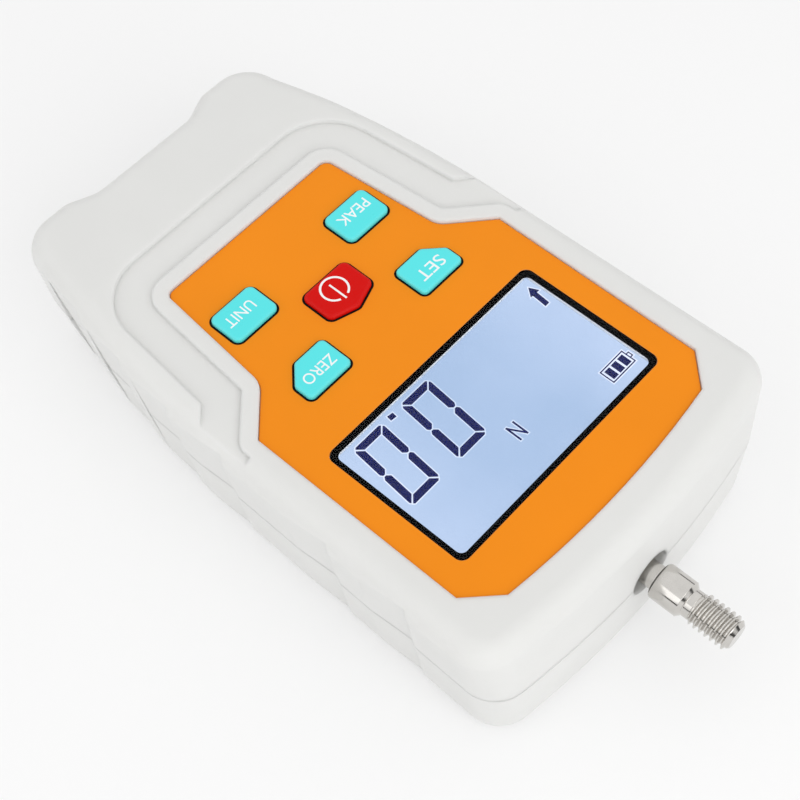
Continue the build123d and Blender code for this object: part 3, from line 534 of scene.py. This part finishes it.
def add_plate(work, outline, low, high):
    """A closed flat plate from a plan outline."""
    bottom = [work.verts.new((x, y, low)) for x, y in outline]
    top = [work.verts.new((x, y, high)) for x, y in outline]
    work.faces.new(top)
    work.faces.new(list(reversed(bottom)))
    join_loops(work, [bottom, top])


def add_ring(work, outer, inner, low, high):
    """A closed flat ring between two outlines with the same number of points."""
    loops = [
        [work.verts.new((x, y, level)) for x, y in outline]
        for outline, level in ((outer, low), (outer, high), (inner, high), (inner, low))
    ]
    join_loops(work, loops + loops[:1])


def grown_outline(outline, amount):
    """A convex outline moved outwards by an amount, with mitred corners."""
    points = [Vector(point) for point in outline]
    count = len(points)
    turn = sum(points[index - 1].cross(points[index]) for index in range(count))
    side = math.copysign(1.0, turn)
    grown = []
    for index, point in enumerate(points):
        before = (point - points[index - 1]).normalized()
        after = (points[(index + 1) % count] - point).normalized()
        out_before = Vector((before.y, -before.x)) * side
        out_after = Vector((after.y, -after.x)) * side
        middle = (out_before + out_after).normalized()
        grown.append(tuple(point + middle * amount / max(middle.dot(out_before), 0.6)))
    return grown


def rounded_rectangle(centre, width, length, radius, steps=8):
    """Outline of a rectangle with rounded corners."""
    outline = []
    for corner, (side_x, side_y) in enumerate(((1, 1), (-1, 1), (-1, -1), (1, -1))):
        middle_x = centre[0] + side_x * (width / 2 - radius)
        middle_y = centre[1] + side_y * (length / 2 - radius)
        for step in range(steps + 1):
            angle = math.pi / 2 * (corner + step / steps)
            across, along = radius * math.cos(angle), radius * math.sin(angle)
            outline.append((middle_x + across, middle_y + along))
    return outline


def key_outline(name):
    """Plan outline of the part of a key that stands in the panel."""
    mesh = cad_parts[name].data
    places = [vertex.co.xy for vertex in mesh.vertices if vertex.co.z > panel_low.z]
    shortest = 0.05 * MM
    outline = []
    for index in convex_hull_2d(places):
        if not outline or (places[index] - outline[-1]).length > shortest:
            outline.append(places[index])
    if (outline[0] - outline[-1]).length < shortest:
        outline.pop()
    return outline


def in_mm(points):
    """An outline given in millimetres."""
    return [(x * MM, y * MM) for x, y in points]


def stroke(start, end, width):
    """Four-sided outline of a straight stroke."""
    first, last = Vector(start), Vector(end)
    side = (last - first).normalized().orthogonal() * width / 2
    return [tuple(first - side), tuple(last - side), tuple(last + side), tuple(first + side)]


def ring_strokes(centre, radius, width, start, end, steps):
    """Four-sided outlines that follow one another along an open ring."""
    pairs = []
    for step in range(steps + 1):
        angle = start + (end - start) * step / steps
        direction = Vector((math.cos(angle), math.sin(angle)))
        pairs.append([
            tuple(Vector(centre) + direction * (radius + side * width / 2)) for side in (1, -1)
        ])
    return [(first[0], last[0], last[1], first[1]) for first, last in zip(pairs, pairs[1:])]


def lathe_rows(work, rows, place):
    """A turned surface through rows of (distance, radius). place(angle, distance, radius)
    puts a point around the axis."""
    join_loops(work, [
        [
            work.verts.new(place(2 * math.pi * index / SEGMENTS, distance, radius))
            for index in range(SEGMENTS)
        ]
        for distance, radius in rows
    ])


def thread_radius(phase, crest, depth):
    """Radius of a rounded sixty-degree thread at a phase from 0 to 1 along its pitch."""
    flank = min(abs(phase - 0.5) * 2, 1.0)
    share = min(max((flank - CREST_SHARE) / FLANK_SHARE, 0.0), 1.0)
    eased = depth * share * share * (3 - 2 * share) * ROUNDING_SHARE
    return crest - eased - depth * share * (1 - ROUNDING_SHARE)


def add_thread(work, start, length, crest, depth, pitch, limit, place):
    """A helical surface between start and start + length. limit(distance, radius) caps the
    radius, and place(angle, distance, radius) puts a point around the axis."""
    grid = []
    for turn in range(-1, int(length / pitch) + 3):
        for phase in PROFILE_PHASES:
            ring = []
            for index in range(SEGMENTS + 1):
                distance = (turn + phase + index / SEGMENTS) * pitch - pitch
                held = min(max(distance, 0.0), length)
                radius = limit(held, thread_radius(phase, crest, depth))
                angle = 2 * math.pi * index / SEGMENTS
                ring.append(work.verts.new(place(angle, start + held, radius)))
            grid.append(ring)
    for first, last in zip(grid, grid[1:]):
        for index in range(SEGMENTS):
            work.faces.new((first[index], first[index + 1], last[index + 1], last[index]))
    bmesh.ops.remove_doubles(work, verts=work.verts, dist=MERGE)
    bmesh.ops.dissolve_degenerate(work, dist=MERGE, edges=work.edges)


def raise_faces(work, thickness):
    """Gives flat faces a thickness upwards, with its points in a fixed order."""
    flat = list(work.faces)
    rims = [edge for edge in work.edges if edge.is_boundary]
    lift = Vector((0, 0, thickness))
    raised = {vertex: work.verts.new(vertex.co + lift) for vertex in list(work.verts)}
    for face in flat:
        work.faces.new([raised[vertex] for vertex in face.verts])
    for edge in rims:
        first, last = edge.verts
        work.faces.new((first, last, raised[last], raised[first]))


def add_legend(key, text, width, height, centre, top, material):
    """Printed letters on a key as a thin mesh, of a given size around a centre."""
    name = key + "_legend"
    curve = bpy.data.curves.new(name, "FONT")
    curve.body = text
    curve.align_x = "CENTER"
    curve.align_y = "CENTER"
    curve.offset = LETTER_WEIGHT
    curve.resolution_u = 6
    holder = bpy.data.objects.new(name, curve)
    bpy.context.scene.collection.objects.link(holder)
    bpy.context.view_layer.update()
    evaluated = holder.evaluated_get(bpy.context.evaluated_depsgraph_get())
    flat = bpy.data.meshes.new_from_object(evaluated)
    bpy.data.objects.remove(holder)
    work = bmesh.new()
    work.from_mesh(flat)
    bpy.data.meshes.remove(flat)
    bmesh.ops.remove_doubles(work, verts=work.verts, dist=1e-5)
    xs = [vertex.co.x for vertex in work.verts]
    ys = [vertex.co.y for vertex in work.verts]
    scale_x, middle_x = width / (max(xs) - min(xs)), (max(xs) + min(xs)) / 2
    scale_y, middle_y = height / (max(ys) - min(ys)), (max(ys) + min(ys)) / 2
    for vertex in work.verts:
        vertex.co = Vector((
            centre[0] + (vertex.co.x - middle_x) * scale_x,
            centre[1] + (vertex.co.y - middle_y) * scale_y,
            top,
        ))
    raise_faces(work, bpy.context.scene.gauge_sizes.print_thickness)
    add_piece(name, close_mesh(name, work, smooth=False), material, key)


# ---- operators
class GAUGE_OT_housing(bpy.types.Operator):
    """Finish of the two moulded covers"""

    bl_idname = "gauge.housing"
    bl_label = "Dress Housing"

    def execute(self, context):
        colour = context.scene.gauge_colours.housing
        shell = moulded_plastic(
            "Housing plastic", colour, 0.45, edge=0.0009, wear_and_edge_highlight=(0.25, 0.4), spread=0.02,
            Specular_IOR_Level=0.35, Subsurface_Weight=0.6, Subsurface_Scale=0.0018,
            Subsurface_Radius=(1.0, 1.0, 1.0),
        )
        dress(shell, "front_cover", "back_cover")
        return {"FINISHED"}


class GAUGE_OT_panel(bpy.types.Operator):
    """Finish of the face panel"""

    bl_idname = "gauge.panel"
    bl_label = "Dress Face Panel"

    def execute(self, context):
        colour = context.scene.gauge_colours.panel
        # The panel's edges go paler: a painted highlight along its edge, with some rubbed wear.
        film = moulded_plastic(
            "Panel film", colour, 0.36, edge=0.00022, grain=3800.0, depth=0.00001,
            wear_and_edge_highlight=(0.16, 0.5), spread=0.04, Specular_IOR_Level=0.12,
        )
        dress(film, "face_panel")
        return {"FINISHED"}


class GAUGE_OT_display(bpy.types.Operator):
    """Window, lit display, its digits and its signs"""

    bl_idname = "gauge.display"
    bl_label = "Build Display"

    def execute(self, context):
        colours = context.scene.gauge_colours
        sizes = context.scene.gauge_sizes
        dress(clear_window("Window plastic"), "display_window")
        dress(lit_display("Display glass", colours.light), "lcd_cell")
        dress(
            moulded_plastic("Light guide", (0.78, 0.80, 0.82), 0.3, edge=0.0002, grain=4200.0),
            "lcd_backlight",
        )
        self.add_border()
        ink = printed_ink("Display ink", colours.ink, 0.5, 0.08)
        # A paler glowing outline under each sign: a painted glow standing in for the signs' double
        # image on the backlight.
        painted_glow = lit_display("Display painted glow", (0.62, 0.72, 0.90))
        thickness = sizes.print_thickness
        for name, outlines in self.signs(sizes).items():
            wide = [grown_outline(outline, SIGN_GLOW) for outline in outlines]
            self.add_sign(name + "_halo", wide, painted_glow, lcd_high.z, thickness)
            self.add_sign(name, outlines, ink, lcd_high.z + 1.2 * thickness, thickness)
        return {"FINISHED"}

    def add_border(self):
        """Black printed border with rounded inner corners."""
        low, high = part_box("display_frame")
        centre = ((low.x + high.x) / 2, display_y)
        outer = rounded_rectangle(centre, high.x - low.x, high.y - low.y, BORDER_OUTER)
        inner = rounded_rectangle(centre, BORDER_WIDTH, BORDER_LENGTH, BORDER_INNER)
        work = bmesh.new()
        add_ring(work, outer, inner, low.z, high.z)
        mesh = close_mesh("display_border", work, smooth=False)
        black = printed_ink("Border print", (0.004, 0.004, 0.0045), 0.5, 0.06)
        add_piece("display_border", mesh, black, "housing", ("display_frame",))

    def signs(self, sizes):
        """Every sign on the display by name, as flat convex outlines."""
        tens, ones = 2.50 * MM, 13.45 * MM
        dot = [(10.85, 5.45), (12.0, 5.30), (12.12, 6.28), (10.97, 6.42)]
        left, right, low, high, line = -0.28 * MM, 1.34 * MM, 20.78 * MM, 23.98 * MM, 0.34 * MM
        return {
            "digit_tens": self.digit(tens, sizes),
            "digit_ones": self.digit(ones, sizes),
            "decimal_dot": [in_mm(dot)],
            "unit_letter": [
                stroke((left, low), (left, high), line),
                stroke((left, high - line / 2), (right, low + line / 2), line),
                stroke((right, low), (right, high), line),
            ],
            "direction_arrow": self.arrow(),
            "battery_sign": self.battery(),
        }

    def add_sign(self, name, outlines, material, level, thickness):
        """Flat plates on the display, each a hair higher than the last where they cross."""
        work = bmesh.new()
        for index, outline in enumerate(outlines):
            add_plate(work, outline, level, level + thickness * (1 + 0.01 * index))
        mesh = close_mesh(name, work, smooth=False)
        add_piece(name, mesh, material, "housing")

    def digit(self, left, sizes):
        """Outlines of a nought in seven-bar style: six mitred bars, leaning a little."""
        width, height, bar = sizes.digit_width, sizes.digit_height, sizes.digit_stroke
        base, gap, cut = display_y - 12.13 * MM, 0.22 * MM, 0.50 * MM
        lean = math.tan(math.radians(5.0))
        half = height / 2
        across = [
            (cut + gap / 2, height), (width - cut - gap / 2, height),
            (width - cut / 2 - gap / 2, height - cut / 2), (width - bar - gap / 2, height - bar),
            (bar + gap / 2, height - bar), (cut / 2 + gap / 2, height - cut / 2),
        ]
        upright = [
            (cut / 2 - gap / 5, height - cut / 2 - gap), (bar, height - bar - gap),
            (bar, half + 0.55 * bar), (0.55 * bar, half + 0.6 * gap),
            (0.25 * bar, half + 0.6 * gap), (0, half + 0.45 * bar), (0, height - cut - gap),
        ]
        bars = [across, upright, [(width - x, y) for x, y in upright]]
        bars += [[(x, height - y) for x, y in outline] for outline in list(bars)]
        return [[(left + x + y * lean, base + y) for x, y in outline] for outline in bars]

    def arrow(self):
        """Outlines of the direction arrow, which points away from the stud."""
        head = [(-21.84, 6.08), (-20.55, 7.70), (-22.68, 7.80)]
        shaft = [(-22.05, 7.74), (-21.06, 7.68), (-20.81, 10.64), (-21.80, 10.60)]
        return [in_mm(head), in_mm(shaft)]

    def battery(self):
        """Outlines of the battery sign: four thin walls, a nub and three bars."""
        left, right, low, high, line = -22.05, -16.35, 25.38, 28.34, 0.22
        boxes = [
            (left, low, right, low + line),
            (left, high - line, right, high),
            (left, low + line, left + line, high - line),
            (right - line, low + line, right, high - line),
            (-22.62, 26.28, -22.42, 27.36),
            (-22.42, 26.28, left, 26.48),
            (-22.42, 27.16, left, 27.36),
        ]
        boxes += [(start, 25.87, start + 1.24, 27.90) for start in (-21.47, -19.83, -18.19)]
        return [
            in_mm(((x0, y0), (x1, y0), (x1, y1), (x0, y1))) for x0, y0, x1, y1 in boxes
        ]


class GAUGE_OT_keys(bpy.types.Operator):
    """Finish and legends of the five keys"""

    bl_idname = "gauge.keys"
    bl_label = "Build Keys"

    def execute(self, context):
        colours = context.scene.gauge_colours
        sizes = context.scene.gauge_sizes
        skin = {"edge": 0.00055, "grain": 4000.0, "depth": 0.000006}
        # The keys' edges go paler: a painted highlight on their rounded rims, with some rubbed
        # wear.
        blue = moulded_plastic(
            "Key plastic", colours.key, 0.3, wear_and_edge_highlight=(0.42, 0.9), spread=0.04,
            Specular_IOR_Level=0.3, **skin,
        )
        red = moulded_plastic(
            "Power key plastic", colours.power, 0.32, wear_and_edge_highlight=(0.14, 0.8), spread=0.06,
            Specular_IOR_Level=0.1, **skin,
        )
        dress(blue, *KEY_LEGENDS)
        dress(red, "key_power")
        ink = printed_ink("Legend ink", colours.legend, 0.5)
        for name, (text, width, share, shift) in KEY_LEGENDS.items():
            low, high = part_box(name)
            centre = ((low.x + high.x) / 2 + shift[0], (low.y + high.y) / 2 + shift[1])
            add_legend(name, text, width, sizes.legend_height * share, centre, high.z, ink)
        self.add_power_sign(ink, sizes)
        self.add_gap_shade_rings()
        return {"FINISHED"}

    def add_gap_shade_rings(self):
        """Near-black rings in the gaps between the keys and the panel: painted shade for the dark
        gaps there.
        """
        # The near-black colour here is painted shade for the gaps round the keys.
        rubber = moulded_plastic(
            "Gap shade black", (0.004, 0.004, 0.004), 0.6, edge=0.00004, spread=0.2,
            Specular_IOR_Level=0.08,
        )
        work = bmesh.new()
        for name in (*KEY_LEGENDS, "key_power"):
            outline = key_outline(name)
            add_ring(
                work, grown_outline(outline, GAP_SHADE_FAR), grown_outline(outline, GAP_SHADE_NEAR),
                panel_low.z + 0.1 * MM, panel_high.z + 0.02 * MM,
            )
        mesh = close_mesh("key_gap_shade", work, smooth=False)
        add_piece("key_gap_shade", mesh, rubber, "housing")

    def add_power_sign(self, ink, sizes):
        """Open ring with a bar through its gap."""
        low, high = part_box("key_power")
        x, y = (low.x + high.x) / 2 + 0.30 * MM, -16.93 * MM
        radius, line, gap = 2.38 * MM, 0.38 * MM, math.radians(21)
        foot, head, bar = y - 1.2 * MM, y + 2.75 * MM, 0.34 * MM
        start, end = math.pi / 2 + gap, math.pi / 2 - gap + 2 * math.pi
        outlines = ring_strokes((x, y), radius, line, start, end, 48)
        outlines.append(stroke((x, foot), (x, head), bar))
        work = bmesh.new()
        for outline in outlines:
            work.faces.new([work.verts.new((*point, high.z)) for point in outline])
        bmesh.ops.remove_doubles(work, verts=work.verts, dist=MERGE)
        raise_faces(work, sizes.print_thickness)
        mesh = close_mesh("power_sign", work, smooth=False)
        add_piece("power_sign", mesh, ink, "key_power")


class GAUGE_OT_measuring_stud(bpy.types.Operator):
    """Threaded stud with its collar, and the rod behind it"""

    bl_idname = "gauge.measuring_stud"
    bl_label = "Build Measuring Stud"

    def execute(self, context):
        sizes = context.scene.gauge_sizes
        colour = context.scene.gauge_colours.steel
        steel = turned_metal("Turned steel", colour, 0.10)
        dress(steel, "measuring_rod")
        rear, tip = adapter_low.y, adapter_high.y
        collar = adapter_high.z - shaft_height
        collar_end, neck_end = rear + 5.9 * MM, rear + 7.3 * MM
        bore, depth = 2.23 * MM, 4.63 * MM
        crest, neck, root = 3.0 * MM, 2.5 * MM, 2.36 * MM
        chamfer, rounding = 0.9 * MM, 0.6 * MM
        rows = [(rear + depth, bore), (rear + 0.2 * MM, bore), (rear, bore + 0.16 * MM)]
        for step in range(7):
            angle = math.pi / 2 * step / 6
            rows.append((
                rear + rounding * (1 - math.cos(angle)),
                collar - rounding + rounding * math.sin(angle),
            ))
        rows += [
            (collar_end - rounding, collar),
            (collar_end - 0.06 * MM, collar - rounding + 0.06 * MM),
            (collar_end, collar - rounding),
            (collar_end, neck + 0.12 * MM),
            (collar_end + 0.12 * MM, neck),
            (neck_end - 0.06 * MM, neck),
            (neck_end, root),
        ]
        length = tip - neck_end
        run_out = 1.1

        def limit(distance, radius):
            return min(radius, root + distance * run_out, crest - chamfer + (length - distance))

        def place(angle, distance, radius):
            return (radius * math.cos(angle), distance, shaft_height + radius * math.sin(angle))

        work = bmesh.new()
        lathe_rows(work, rows, place)
        add_thread(
            work, neck_end, length, crest, sizes.thread_depth, sizes.thread_pitch, limit, place
        )
        rims = [edge for edge in work.edges if edge.is_boundary]
        bmesh.ops.holes_fill(work, edges=rims, sides=0)
        mesh = close_mesh("measuring_stud_threaded", work, angle=THREAD_ANGLE)
        add_piece(
            "measuring_stud_threaded", mesh, steel, "measuring_shaft",
            ("thread_adapter",),
        )
        return {"FINISHED"}


class GAUGE_OT_fixings(bpy.types.Operator):
    """Screws, the bolt, the stand inserts and the charging jack"""

    bl_idname = "gauge.fixings"
    bl_label = "Build Fixings"

    def execute(self, context):
        zinc = turned_metal("Zinc plate", (0.60, 0.61, 0.60), 0.3, edge=0.0001, rings=5000.0)
        dress(zinc, "cover_screws", "board_screws", "bracket_screws", "cell_bolt")
        jack = moulded_plastic(
            "Jack plastic", (0.02, 0.02, 0.022), 0.38, edge=0.0002, spread=0.15, wear_and_edge_highlight=(0.06, 0.4)
        )
        dress(jack, "charge_jack")
        self.add_inserts(turned_metal("Turned brass", (0.72, 0.50, 0.20), 0.28, rings=7000.0))
        return {"FINISHED"}

    def add_inserts(self, brass):
        """Four threaded inserts, their ends and mouths chamfered."""
        outer, major, minor, pitch = 2.9 * MM, 1.98 * MM, 1.65 * MM, 0.7 * MM
        length = insert_high.z - insert_low.z
        work = bmesh.new()
        for x in (insert_low.x + outer, insert_high.x - outer):
            for y in (insert_low.y + outer, insert_high.y - outer):
                self.add_insert(work, x, y, outer, major, minor, pitch, length)
        mesh = close_mesh("stand_inserts_threaded", work, angle=THREAD_ANGLE)
        add_piece("stand_inserts_threaded", mesh, brass, "housing", ("stand_inserts",))

    def add_insert(self, work, x, y, outer, major, minor, pitch, length):
        """One insert, its mouth at the back face."""
        lip, mouth = 0.25 * MM, major + 0.1 * MM

        def limit(distance, radius):
            return max(radius, mouth - min(distance, length - distance))

        def place(angle, distance, radius):
            across, along = radius * math.cos(angle), radius * math.sin(angle)
            return (x + across, y - along, insert_low.z + distance)

        part = bmesh.new()
        add_thread(part, 0.0, length, major, major - minor, pitch, limit, place)
        lathe_rows(part, (
            (0.0, mouth), (0.0, outer - lip), (lip, outer), (length - lip, outer),
            (length, outer - lip), (length, mouth),
        ), place)
        bmesh.ops.remove_doubles(part, verts=part.verts, dist=MERGE)
        mesh = bpy.data.meshes.new("insert_part")
        part.to_mesh(mesh)
        part.free()
        work.from_mesh(mesh)
        bpy.data.meshes.remove(mesh)


class GAUGE_OT_inner_parts(bpy.types.Operator):
    """Finishes of everything inside the housing"""

    bl_idname = "gauge.inner_parts"
    bl_label = "Dress Inner Parts"

    def execute(self, context):
        resin = moulded_plastic("Chip resin", (0.02, 0.02, 0.021), 0.5, edge=0.0001, spread=0.2)
        holder = moulded_plastic("Holder plastic", (0.62, 0.62, 0.60), 0.45, edge=0.0002)
        rubber = moulded_plastic("Key rubber", (0.16, 0.17, 0.18), 0.6, edge=0.0002, spread=0.1)
        film = moulded_plastic(
            "Gauge film", (0.62, 0.30, 0.05), 0.35, edge=0.00005, grain=9000.0, spread=0.15
        )
        wrap = moulded_plastic(
            "Battery wrap", (0.02, 0.09, 0.32), 0.25, edge=0.0003, spread=0.1, Coat_Weight=0.3
        )
        dress(circuit_board("Circuit board"), "main_board")
        dress(resin, "board_parts")
        dress(holder, "lcd_holder", "battery_cradle")
        dress(rubber, "keypad")
        dress(rolled_metal("Load cell aluminium", (0.80, 0.81, 0.82), 0.32), "load_cell")
        dress(rolled_metal("Bracket plate", (0.62, 0.63, 0.62), 0.36, "Y"), "cell_bracket")
        dress(film, "strain_gauges")
        dress(wrap, "battery_cells")
        return {"FINISHED"}


class GAUGE_OT_stage(bpy.types.Operator):
    """Plain floor, soft lamps and the camera"""

    bl_idname = "gauge.stage"
    bl_label = "Build Stage"

    def execute(self, context):
        stage = context.scene.gauge_stage
        self.add_floor(stage)
        self.add_lamp("key_lamp", stage.key_power)
        self.add_lamp("fill_lamp", stage.fill_power)
        self.add_world(stage)
        self.add_camera(stage)
        context.scene.view_settings.view_transform = "Standard"
        return {"FINISHED"}

    def add_floor(self, stage):
        """A plain matt floor under the gauge, whiter where it is seen and towards its edge."""
        work = bmesh.new()
        bmesh.ops.create_grid(work, x_segments=24, y_segments=24, size=1.6)
        mesh = close_mesh("floor", work)
        material, tree, shader = new_material("Floor paper", Roughness=0.9, Specular_IOR_Level=0.1)
        skin = use_group(tree, "grain", Grain_Scale=900.0, Cloud_Scale=6.0)
        colour = stage.floor
        tone = add_mix(tree, skin.outputs["Tone"], rgba(colour, 0.985), rgba(colour))
        tree.links.new(tone, shader.inputs["Base Color"])
        glow = tree.nodes.new("ShaderNodeEmission")
        away = tree.nodes.new("ShaderNodeVectorMath")
        away.operation = "LENGTH"
        tree.links.new(own_place(tree), away.inputs[0])
        near, far = 0.25, 1.3
        fade = add_range(tree, away.outputs["Value"], near, far, stage.floor_white, 1.0)
        share = add_math(tree, "MULTIPLY", self.background_rays(tree), fade)
        mix_surfaces(tree, share, shader, glow, "Material Output")
        mesh.materials.append(material)
        floor = bpy.data.objects.new("floor", mesh)
        bpy.context.scene.collection.objects.link(floor)
        floor.location.z = -0.2 * MM

    def background_rays(self, tree):
        """One for rays that show the background: seen, reflected or through the window."""
        path = tree.nodes.new("ShaderNodeLightPath")
        mirrored = add_math(
            tree, "MAXIMUM", path.outputs["Is Glossy Ray"], path.outputs["Is Transmission Ray"]
        )
        return add_math(tree, "MAXIMUM", path.outputs["Is Camera Ray"], mirrored)

    def add_lamp(self, name, power):
        """A large square lamp that looks at the middle of the gauge."""
        place, side = LAMPS[name]
        light = bpy.data.lights.new(name, "AREA")
        light.shape = "SQUARE"
        light.size = side
        light.energy = power
        lamp = bpy.data.objects.new(name, light)
        bpy.context.scene.collection.objects.link(lamp)
        lamp.location = place
        middle = Vector((0, 0, 0.015))
        aim = middle - lamp.location
        lamp.rotation_euler = aim.to_track_quat("-Z", "Y").to_euler()

    def add_world(self, stage):
        """Even pale light from all sides, a little darker low down. Rays that show the
        background see white, with a dark strip low down where it isn't seen directly."""
        world = bpy.data.worlds.new("studio")
        bpy.context.scene.world = world
        world.use_nodes = True
        tree = world.node_tree
        sky = tree.nodes["Background"]
        sky.inputs["Strength"].default_value = stage.sky
        height = split_axes(tree, tree.nodes.new("ShaderNodeTexCoord").outputs["Generated"])["Z"]
        rise = add_range(tree, height, -0.1, 0.7)
        tree.links.new(add_mix(tree, rise, LOW_SKY, WHITE), sky.inputs["Color"])
        lower, upper = add_range(tree, height, 0.02, 0.04), add_range(tree, height, 0.15, 0.18)
        strip = add_math(tree, "SUBTRACT", lower, upper)
        path = tree.nodes.new("ShaderNodeLightPath")
        unseen = add_math(tree, "SUBTRACT", 1.0, path.outputs["Is Camera Ray"])
        strip = add_math(tree, "MULTIPLY", strip, unseen)
        plain = tree.nodes.new("ShaderNodeBackground")
        tree.links.new(add_mix(tree, strip, WHITE, DARK_STRIP), plain.inputs["Color"])
        mix_surfaces(tree, self.background_rays(tree), sky, plain, "World Output")

    def add_camera(self, stage):
        """A camera that looks down at the gauge from beyond its stud."""
        lens = bpy.data.cameras.new("camera")
        lens.lens = stage.lens
        lens.sensor_width = 36.0
        lens.clip_start = 0.01
        camera = bpy.data.objects.new("camera", lens)
        bpy.context.scene.collection.objects.link(camera)
        place = (0.107524, 0.103104, 0.251481)
        right = Vector((-0.6697, 0.7420, -0.0294))
        down = Vector((0.6396, 0.5563, -0.5305))
        ahead = Vector((-0.3773, -0.3741, -0.8472))
        turn = Matrix((right, -down, -ahead)).transposed().normalized().to_4x4()
        camera.matrix_world = Matrix.Translation(place) @ turn
        bpy.context.scene.camera = camera


class GAUGE_PT_sidebar(bpy.types.Panel):
    """Sidebar panel with the gauge's settings and steps"""

    bl_idname = "GAUGE_PT_sidebar"
    bl_label = "Force Gauge"
    bl_space_type = "VIEW_3D"
    bl_region_type = "UI"
    bl_category = "Gauge"

    def draw(self, context):
        layout = self.layout
        for setting in SETTINGS:
            group = getattr(context.scene, setting)
            box = layout.box()
            for name in group.__annotations__:
                box.prop(group, name)
        for operator in OPERATORS:
            layout.operator(operator.bl_idname)


OPERATORS = (
    GAUGE_OT_housing,
    GAUGE_OT_panel,
    GAUGE_OT_display,
    GAUGE_OT_keys,
    GAUGE_OT_measuring_stud,
    GAUGE_OT_fixings,
    GAUGE_OT_inner_parts,
    GAUGE_OT_stage,
)
SETTINGS = {
    "gauge_colours": GaugeColours,
    "gauge_sizes": GaugeSizes,
    "gauge_stage": GaugeStage,
}


def register():
    """Adds the settings, the operators and the panel."""
    for name, group in SETTINGS.items():
        bpy.utils.register_class(group)
        setattr(bpy.types.Scene, name, bpy.props.PointerProperty(type=group))
    for operator in OPERATORS:
        bpy.utils.register_class(operator)
    bpy.utils.register_class(GAUGE_PT_sidebar)


def unregister():
    """Takes them away again."""
    bpy.utils.unregister_class(GAUGE_PT_sidebar)
    for operator in reversed(OPERATORS):
        bpy.utils.unregister_class(operator)
    for name, group in reversed(SETTINGS.items()):
        delattr(bpy.types.Scene, name)
        bpy.utils.unregister_class(group)


def main():
    """Runs every step in order."""
    register()
    for operator in OPERATORS:
        family, step = operator.bl_idname.split(".")
        getattr(getattr(bpy.ops, family), step)()


if __name__ == "__main__":
    main()
